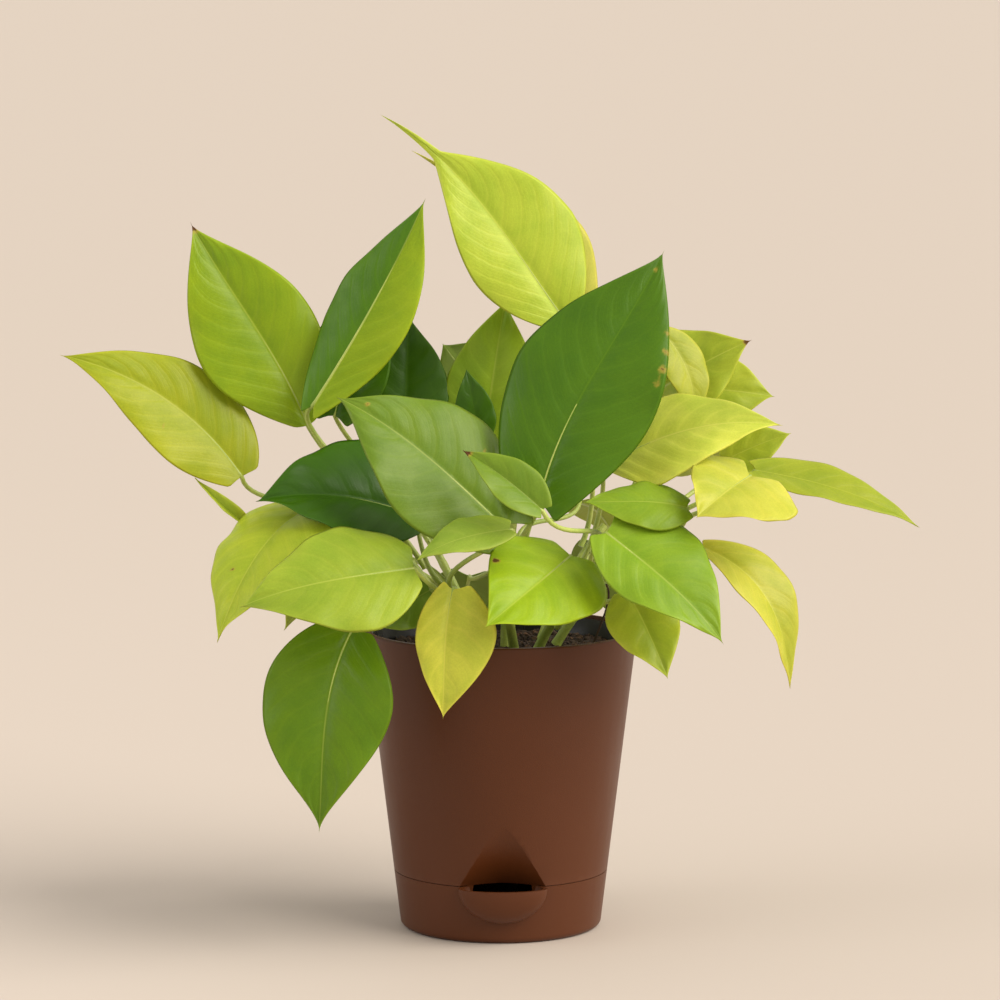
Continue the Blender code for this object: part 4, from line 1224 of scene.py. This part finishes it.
class BladeShape:
    """Places on a leaf's upper side, by t along the midrib and q across it from -1 to 1."""

    def __init__(self, leaf):
        self.leaf = leaf
        base, tip = above_soil(leaf.base), above_soil(leaf.tip)
        self.face = unit(vector(*leaf.face))
        self.length = float(np.linalg.norm(tip - base))
        along = unit(tip - base)
        normal = unit(self.face - self.face.dot(along) * along)
        side = np.cross(along, normal)
        bends = [
            (normal * bow + side * sway) * self.length
            for bow, sway in zip(pair(leaf.bow), pair(leaf.sway))
        ]
        third = (tip - base) / 3
        self.midrib = [base, base + third + bends[0], base + 2 * third + bends[1], tip]

    def frame(self, t):
        along = bezier_direction(self.midrib, t)
        normal = unit(self.face - (along @ self.face)[..., None] * along)
        return bezier(self.midrib, t), along, np.cross(along, normal), normal

    def half_width(self, t):
        """Share of the greatest half width: a rounded base, a long curve and a drawn-out tip."""
        leaf = self.leaf
        rise = np.sin(np.pi / 2 * np.clip(t / leaf.shoulder, 0, 1)) ** leaf.rise
        u = np.clip((t - leaf.shoulder) / (1 - leaf.tail - leaf.shoulder), 0, 1)
        share = TAILS.get(leaf.name, DRIP_TIP)
        drip = share * (1 - t) / (1 - leaf.shoulder)
        return np.where(t < leaf.shoulder, rise, drip + (1 - share) * (1 - u * u) ** leaf.taper)

    def grid(self, t, q):
        """Places, normals and distances from the midrib for rows t and columns q."""
        leaf = self.leaf
        middle, along, side, normal = [part[:, None, :] for part in self.frame(t)]
        t, q = t[:, None], q[None, :]
        hand = np.where(q < 0, -1.0, 1.0)
        half = leaf.width * MM / 2 * (1 + leaf.lean * hand)
        fold = np.where(q > 0, *(math.radians(v) for v in pair(leaf.fold)[::-1]))
        bend = np.where(q > 0, *(math.radians(v) for v in pair(leaf.curl)[::-1])) / half
        reach = np.abs(q) * half * self.half_width(t)
        turned = fold - bend * reach
        out = (np.sin(fold) - np.sin(turned)) / bend
        up = (np.cos(turned) - np.cos(fold)) / bend
        back = leaf.lobe * self.length * np.abs(q) ** LOBE_ROUNDING
        back = back * (1 - t) ** LOBE_FADE * np.minimum(1.0, t / LOBE_START)
        out, up, back = (part[..., None] for part in (out * hand, up, back))
        place = middle - along * back + side * out + normal * up
        turn = turned[..., None]
        facing = unit(normal * np.cos(turn) - side * hand[..., None] * np.sin(turn))
        return place, facing, reach, half * self.half_width(t) - reach


def petiole_points(leaf, shape, vines):
    """The petiole leaves its vine beside it and meets the blade from below."""
    _, along, _, normal = (part[0] for part in shape.frame(np.array([0.0])))
    arrival = unit(ARRIVAL_LEAN * along + leaf.lift * normal)
    end = shape.midrib[0] - arrival * JOINT_DROP * PETIOLE_R * MM
    vine = vines[leaf.vine]
    points = [above_soil(p) for p in vine.points]
    centre = bezier(points, leaf.along)
    growth = bezier_direction(points, leaf.along)
    out = end - centre
    out = unit(out - out.dot(growth) * growth)
    vine_r = vine.radius * (1 - VINE_TAPER * leaf.along)
    start = centre + out * (vine_r + PETIOLE_R * (1 + PETIOLE_FLARE) + GAP) * MM
    reach = float(np.linalg.norm(end - start))
    departure = unit(growth + DEPARTURE_LEAN * out)
    leaving = start + departure * reach * leaf.start_reach
    return [start, leaving, end - arrival * reach * leaf.end_reach, end]


def relief(leaf, shape, t, q, settings, rng):
    """Heights over the plain blade, and where each point lies between its side veins.

    The heights come from the groove, the quilting, the waves of the edge and slow dents.
    """
    size = leaf.width / 55
    a = np.abs(q)[None, :]
    left = (q < 0)[None, :]
    t = t[:, None]
    reach = a * leaf.width * MM / 2 * shape.half_width(t)
    count = max(4.0, shape.length / settings.vein_spacing)
    phase = (t - VEIN_SWEEP * a**VEIN_SWEEP_POWER) * count + np.where(left, VEIN_STAGGER, 0.0)
    window = smooth_step(0.04, 0.25, a) * (1 - smooth_step(0.80, 1.0, a))
    window = window * smooth_step(0.0, 0.08, t) * (1 - smooth_step(0.86, 1.0, t))
    height = settings.quilting * size * np.sin(np.pi * phase) ** 2 * window
    for lift, width in ((-GROOVE_DEPTH, GROOVE_R), (RIDGE_HEIGHT, RIDGE_R)):
        line = np.exp(-((reach / width) ** 2)) * (1 - 0.6 * t)
        height = height + lift * min(1.0, size) * line
    shift = rng.uniform(0, 2 * np.pi, 6)
    wave = np.sin(2 * np.pi * 2.1 * t + np.where(left, shift[0], shift[1]))
    wave = wave + 0.5 * np.sin(2 * np.pi * 4.3 * t + np.where(left, shift[2], shift[3]))
    wave = wave * np.sin(np.pi * np.clip(t, 0, 1)) ** 0.5
    height = height + settings.edge_wave * size * a**3 * wave
    slow = np.sin(2.6 * np.pi * t + shift[4]) * np.sin(2.2 * q[None, :] * np.pi / 2 + shift[5])
    slow = slow * smooth_step(0.0, 0.2, t) * (1 - smooth_step(0.8, 1.0, t))
    return height + DENT_DEPTH * size * slow * a, phase


def dryness(leaf, place, shape, t):
    """How dry each point of the blade is, from 0 to 1: at its tip and in its spots."""
    dry = np.zeros(place.shape[:2])
    if leaf.name in DRY_TIPS:
        share = DRY_TIPS[leaf.name]
        dry = np.maximum(dry, smooth_step(1 - 2.2 * share, 1 - 0.4 * share, t)[:, None])
    for name, at, across, radius, level in DRY_SPOTS:
        if name == leaf.name:
            centre = shape.grid(np.array([at]), np.array([across]))[0][0, 0]
            gap = np.linalg.norm(place - centre, axis=-1) / (radius * MM)
            dry = np.maximum(dry, level * (1 - smooth_step(0.4, 1.5, gap)))
    return dry


def give_points(mesh, name, *runs):
    """A number for each point of a mesh, from runs that follow the order of its points."""
    values = np.concatenate(runs).astype(np.float32)
    mesh.attributes.new(name, "FLOAT", "POINT").data.foreach_set("value", values)


def blade_mesh(leaf, vines, settings, tint, seed):
    """The closed blade, and the path of its petiole and midrib as loose edges with a thickness."""
    rng = np.random.default_rng(seed)
    shape = BladeShape(leaf)
    right = np.array(HALF_COLUMNS)
    q = np.concatenate([-right[:0:-1], right])
    t = (np.arange(1, ROWS) / ROWS) ** ROW_SPREAD
    place, facing, from_rib, from_edge = shape.grid(t, q)
    height, phase = relief(leaf, shape, t, q, settings, rng)
    a = np.abs(q)[None, :]
    thick = settings.blade_thickness / 2 * np.sqrt(np.maximum(0.0, 1 - a**8)) * np.ones_like(height)
    swell = facing * height[..., None]
    upper = place + swell + facing * thick[..., None]
    lower = (place + swell - facing * thick[..., None])[:, 1:-1]
    rows, columns = upper.shape[:2]
    top = np.arange(rows * columns).reshape(rows, columns)
    under = top.copy()
    under[:, 1:-1] = rows * columns + np.arange(rows * (columns - 2)).reshape(rows, columns - 2)
    first, last = rows * columns + rows * (columns - 2) + np.arange(2)
    ends = [shape.midrib[0], shape.midrib[3]]
    points = np.concatenate([upper.reshape(-1, 3), lower.reshape(-1, 3), ends])
    faces = []
    for sheet, flip in ((top, False), (under, True)):
        corners = [sheet[:-1, :-1], sheet[:-1, 1:], sheet[1:, 1:], sheet[1:, :-1]]
        quads = np.stack(corners, -1).reshape(-1, 4)
        fans = np.concatenate([
            np.stack([np.full(columns - 1, first), sheet[0, 1:], sheet[0, :-1]], -1),
            np.stack([np.full(columns - 1, last), sheet[-1, :-1], sheet[-1, 1:]], -1)])
        for group in (quads, fans):
            faces += (group[:, ::-1] if flip else group).tolist()

    petiole = petiole_points(leaf, shape, vines)
    s = np.linspace(0, 1, PETIOLE_POINTS)
    stalk = bezier(petiole, s)
    foot = PETIOLE_R * MM * (1 + PETIOLE_FLARE * (1 - s) ** 3)
    m = np.linspace(*RIB_ENDS, RIB_POINTS)
    middle, _, _, normal = shape.frame(m)
    rib_r = PETIOLE_R * MM * (0.78 * (1 - m) + 0.14) * min(1.0, leaf.width / 34)
    rib = middle - normal * (rib_r * 0.75)[:, None]
    path = np.concatenate([stalk, rib])
    radius = np.concatenate([foot, rib_r])
    start = len(points)
    points = np.concatenate([points, path])
    edges = [(start + k, start + k + 1) for k in range(len(path) - 1)]

    mesh = bpy.data.meshes.new(leaf.name)
    mesh.from_pydata(points.tolist(), edges, faces)
    flat = {
        "vein": phase,
        "rib": from_rib / MM,
        "edge": from_edge / MM,
        "rib_width": 0.75 * (1 - 0.65 * t)[:, None] * min(1.0, leaf.width / 40),
        "dry": dryness(leaf, place, shape, t),
    }
    for name, values in flat.items():
        values = np.broadcast_to(values, phase.shape)
        ends = [values[0, columns // 2], values[-1, columns // 2]]
        give_points(mesh, name, values.ravel(), values[:, 1:-1].ravel(), ends, np.zeros(len(path)))
    give_points(mesh, "under", np.zeros(rows * columns), np.ones(rows * (columns - 2)),
                np.zeros(2 + len(path)))
    give_points(mesh, "stalk", np.zeros(start), radius)
    mesh.attributes.new("tint", "FLOAT_COLOR", "POINT").data.foreach_set(
        "color", blade_colours(leaf, tint, t, q, len(path), rng).ravel())
    map_blade(mesh, t, q, len(path))
    mesh.shade_smooth()
    return mesh


def blade_colours(leaf, tint, t, q, extra, rng):
    """The leaf's own tint with slow changes from base to tip, a painted glow on its edge and
    painted shade on some left halves.
    """
    shift = rng.uniform(0, 2 * np.pi, 3)
    a = np.abs(q)[None, :]
    t = t[:, None]
    # 0.16 * a**4 is painted glow, a paler yellower edge standing in for light through the thin
    # margin; the rest is slow change of tone
    lighter = 0.16 * a**4 + 0.10 * np.sin(3.1 * t + shift[0]) * np.cos(2.3 * q[None, :] + shift[1])
    lighter = lighter + 0.07 * (1 - t)
    # painted shade: leaves in the left-half table get a darker colour on their left half
    left = smooth_step(-0.05, 0.05, -q)[None, :, None]
    sides = np.array(tint) * (1 - left) + np.array(PAINTED_SHADE_LEFT_TINTS.get(leaf.name, tint)) * left
    grid = np.clip(sides * (1 + lighter[..., None] * np.array([1.15, 0.85, 1.4])), 0, 1)
    ends = grid[[0, -1], len(q) // 2]
    rest = np.tile(np.array(tint), (extra, 1))
    whole = np.concatenate([grid.reshape(-1, 3), grid[:, 1:-1].reshape(-1, 3), ends, rest])
    return np.concatenate([whole, np.ones((len(whole), 1))], 1).astype(np.float32)


def map_blade(mesh, t, q, extra):
    """A UV map with the midrib upright in its middle."""
    u, v = np.meshgrid((q + 1) / 2, t)
    flat_u = np.concatenate([u.ravel(), u[:, 1:-1].ravel(), [0.5, 0.5], np.zeros(extra)])
    flat_v = np.concatenate([v.ravel(), v[:, 1:-1].ravel(), [0.0, 1.0], np.zeros(extra)])
    corner = np.zeros(len(mesh.loops), np.int32)
    mesh.loops.foreach_get("vertex_index", corner)
    layer = mesh.uv_layers.new(name="blade")
    flat = np.stack([flat_u[corner], flat_v[corner]], -1)
    layer.uv.foreach_set("vector", flat.astype(np.float32).ravel())


def green_stem():
    colour = tuple(bpy.context.scene.pothos_plant.stem)
    second = tuple(c * s for c, s in zip(colour, STEM_SHADE))
    return kept(stem_material, "stem_look", colour, second, 0.36)


class POTHOS_OT_leaves(Operator):
    """Grows every leaf with its petiole, midrib, side veins and edge"""

    bl_idname = "pothos.leaves"
    bl_label = "Leaves"

    def execute(self, context):
        settings = context.scene.pothos_plant
        vines = {vine.name: vine for vine in VINES}
        for seed, leaf in enumerate(LEAVES):
            slot = f"{leaf.shade}_leaf"
            tint = TINTS.get(leaf.name, tuple(getattr(settings, leaf.shade)))
            mesh = blade_mesh(leaf, vines, settings, tint, seed)
            finish = DARK_FINISH if leaf.shade == "dark" else PALE_FINISH
            mesh.materials.append(kept(leaf_material, f"{slot}_look", *finish))
            grown = add_piece(leaf.name.replace("leaf_", "foliage_"), mesh)
            apply_tree(grown, stalk_tree(), {"Sides": 12, "Stalk Material": green_stem()})
            stand_for(grown, slot, leaf.name)
        return {"FINISHED"}


def stalk_mesh(name, points, radii):
    """A path of loose edges with the thickness of a stalk at each point."""
    mesh = bpy.data.meshes.new(name)
    mesh.from_pydata(points.tolist(), [(k, k + 1) for k in range(len(points) - 1)], [])
    give_points(mesh, "stalk", radii)
    return mesh


class POTHOS_OT_stems(Operator):
    """Grows the short vines with their swollen joints, and the dried aerial root"""

    bl_idname = "pothos.stems"
    bl_label = "Stems"

    def execute(self, context):
        for vine in VINES:
            points = [above_soil(p) for p in vine.points]
            t = np.linspace(0, 1, 48)
            radii = vine.radius * MM * (1 - VINE_TAPER * t)
            joints = np.abs(((t * 3.2) % 1.0) - 0.5)
            radii = radii * (0.97 + 0.09 * np.exp(-((0.5 - joints) / 0.07) ** 2))
            mesh = stalk_mesh(vine.name, bezier(points, t), radii)
            grown = add_piece(vine.name.replace("vine_", "stem_"), mesh)
            apply_tree(grown, stalk_tree(), {"Sides": 16, "Stalk Material": green_stem()})
            stand_for(grown, "stem", vine.name)
        for root in ROOTS:
            points = [above_soil(p) for p in root.points]
            t = np.linspace(0, 1, 40)
            rng = np.random.default_rng(3)
            radii = root.radius * MM * (1 - VINE_TAPER * t) * rng.uniform(0.8, 1.05, len(t))
            dried = add_piece("dried_root", stalk_mesh(root.name, bezier(points, t), radii))
            brown = kept(stem_material, "dry_root_look", *ROOT_COLOURS, 0.75)
            apply_tree(dried, stalk_tree(), {"Sides": 10, "Stalk Material": brown})
            stand_for(dried, "dry_root", root.name)
        return {"FINISHED"}


# ---- Stage

TARGET = Vector((-0.0003, 0.0, 0.1862))
CAMERA_PLACE = Vector((-0.0003, -1.8795, 0.4036))
CAMERA_PITCH = math.radians(83.4)
KEY_FROM = Vector((0.76, -0.33, 0.60))
FILL_PLACE = Vector((-1.7, -0.7, 0.8))
FLOOR_R = 600.0
FLOOR_DROP = 0.0001
VIEW_REACH = 1000.0
LENS = 105.0
SENSOR = 24.0
WORLD_COLOUR = (1.0, 0.955, 0.90)
KEY_COLOUR = (1.0, 0.945, 0.88)
KEY_SPREAD = math.radians(55)
FILL_COLOUR = (0.97, 0.97, 1.0)
FILL_SIZE = 1.2


class POTHOS_OT_stage(Operator):
    """Sets the pale floor, the soft lights and the camera"""

    bl_idname = "pothos.stage"
    bl_label = "Stage"

    def execute(self, context):
        settings = context.scene.pothos_stage
        form = bmesh.new()
        bmesh.ops.create_circle(form, cap_ends=True, segments=128, radius=FLOOR_R)
        floor = add_form("floor", form)
        floor.location.z = -FLOOR_DROP
        made, _, shader = new_material("floor")
        shader.inputs["Base Color"].default_value = (*settings.floor, 1.0)
        shader.inputs["Roughness"].default_value = 0.7
        shader.inputs["Specular IOR Level"].default_value = 0.2
        floor.data.materials.append(made)
        world = bpy.data.worlds.new("soft_room")
        world.use_nodes = True
        light = world.node_tree.nodes["Background"]
        light.inputs["Color"].default_value = (*WORLD_COLOUR, 1.0)
        light.inputs["Strength"].default_value = settings.ambient
        context.scene.world = world
        key = bpy.data.lights.new("key", "SUN")
        key.energy = settings.key
        key.angle = KEY_SPREAD
        key.color = KEY_COLOUR
        add_piece("key", key).rotation_euler = KEY_FROM.to_track_quat("Z", "Y").to_euler()
        fill = bpy.data.lights.new("fill", "AREA")
        fill.shape = "DISK"
        fill.size = FILL_SIZE
        fill.energy = settings.fill
        fill.color = FILL_COLOUR
        lamp = add_piece("fill", fill)
        lamp.location = FILL_PLACE
        lamp.rotation_euler = (FILL_PLACE - TARGET).to_track_quat("Z", "Y").to_euler()
        lens = bpy.data.cameras.new("camera")
        lens.lens = LENS
        lens.sensor_width = SENSOR
        lens.clip_end = VIEW_REACH
        camera = add_piece("camera", lens)
        camera.location = CAMERA_PLACE
        camera.rotation_euler = (CAMERA_PITCH, 0.0, 0.0)
        context.scene.camera = camera
        context.scene.view_settings.view_transform = "Standard"
        return {"FINISHED"}


class VIEW3D_PT_pothos(Panel):
    """Lists the settings and the makers of each group of pieces"""

    bl_label = "Potted Pothos"
    bl_space_type = "VIEW_3D"
    bl_region_type = "UI"
    bl_category = "Pothos"

    def draw(self, context):
        for group, makers in PANEL_ROWS:
            box = self.layout.box()
            settings = getattr(context.scene, group)
            for name in settings.__annotations__:
                box.prop(settings, name)
            for maker in makers:
                box.operator(maker.bl_idname)


PANEL_ROWS = (
    ("pothos_pot", (POTHOS_OT_reservoir, POTHOS_OT_planter, POTHOS_OT_inner_pot)),
    ("pothos_soil", (POTHOS_OT_soil,)),
    ("pothos_plant", (POTHOS_OT_stems, POTHOS_OT_leaves)),
    ("pothos_stage", (POTHOS_OT_stage,)),
)
SETTINGS = {
    "pothos_pot": PotSettings,
    "pothos_soil": SoilSettings,
    "pothos_plant": PlantSettings,
    "pothos_stage": StageSettings,
}
CLASSES = (
    *SETTINGS.values(),
    *(maker for _, makers in PANEL_ROWS for maker in makers),
    VIEW3D_PT_pothos,
)


def register():
    for cls in CLASSES:
        bpy.utils.register_class(cls)
    for name, cls in SETTINGS.items():
        setattr(bpy.types.Scene, name, PointerProperty(type=cls))


def unregister():
    for name in SETTINGS:
        delattr(bpy.types.Scene, name)
    for cls in reversed(CLASSES):
        bpy.utils.unregister_class(cls)


def main():
    register()
    bpy.ops.pothos.reservoir()
    bpy.ops.pothos.planter()
    bpy.ops.pothos.inner_pot()
    bpy.ops.pothos.soil()
    bpy.ops.pothos.stems()
    bpy.ops.pothos.leaves()
    bpy.ops.pothos.stage()


if __name__ == "__main__":
    main()
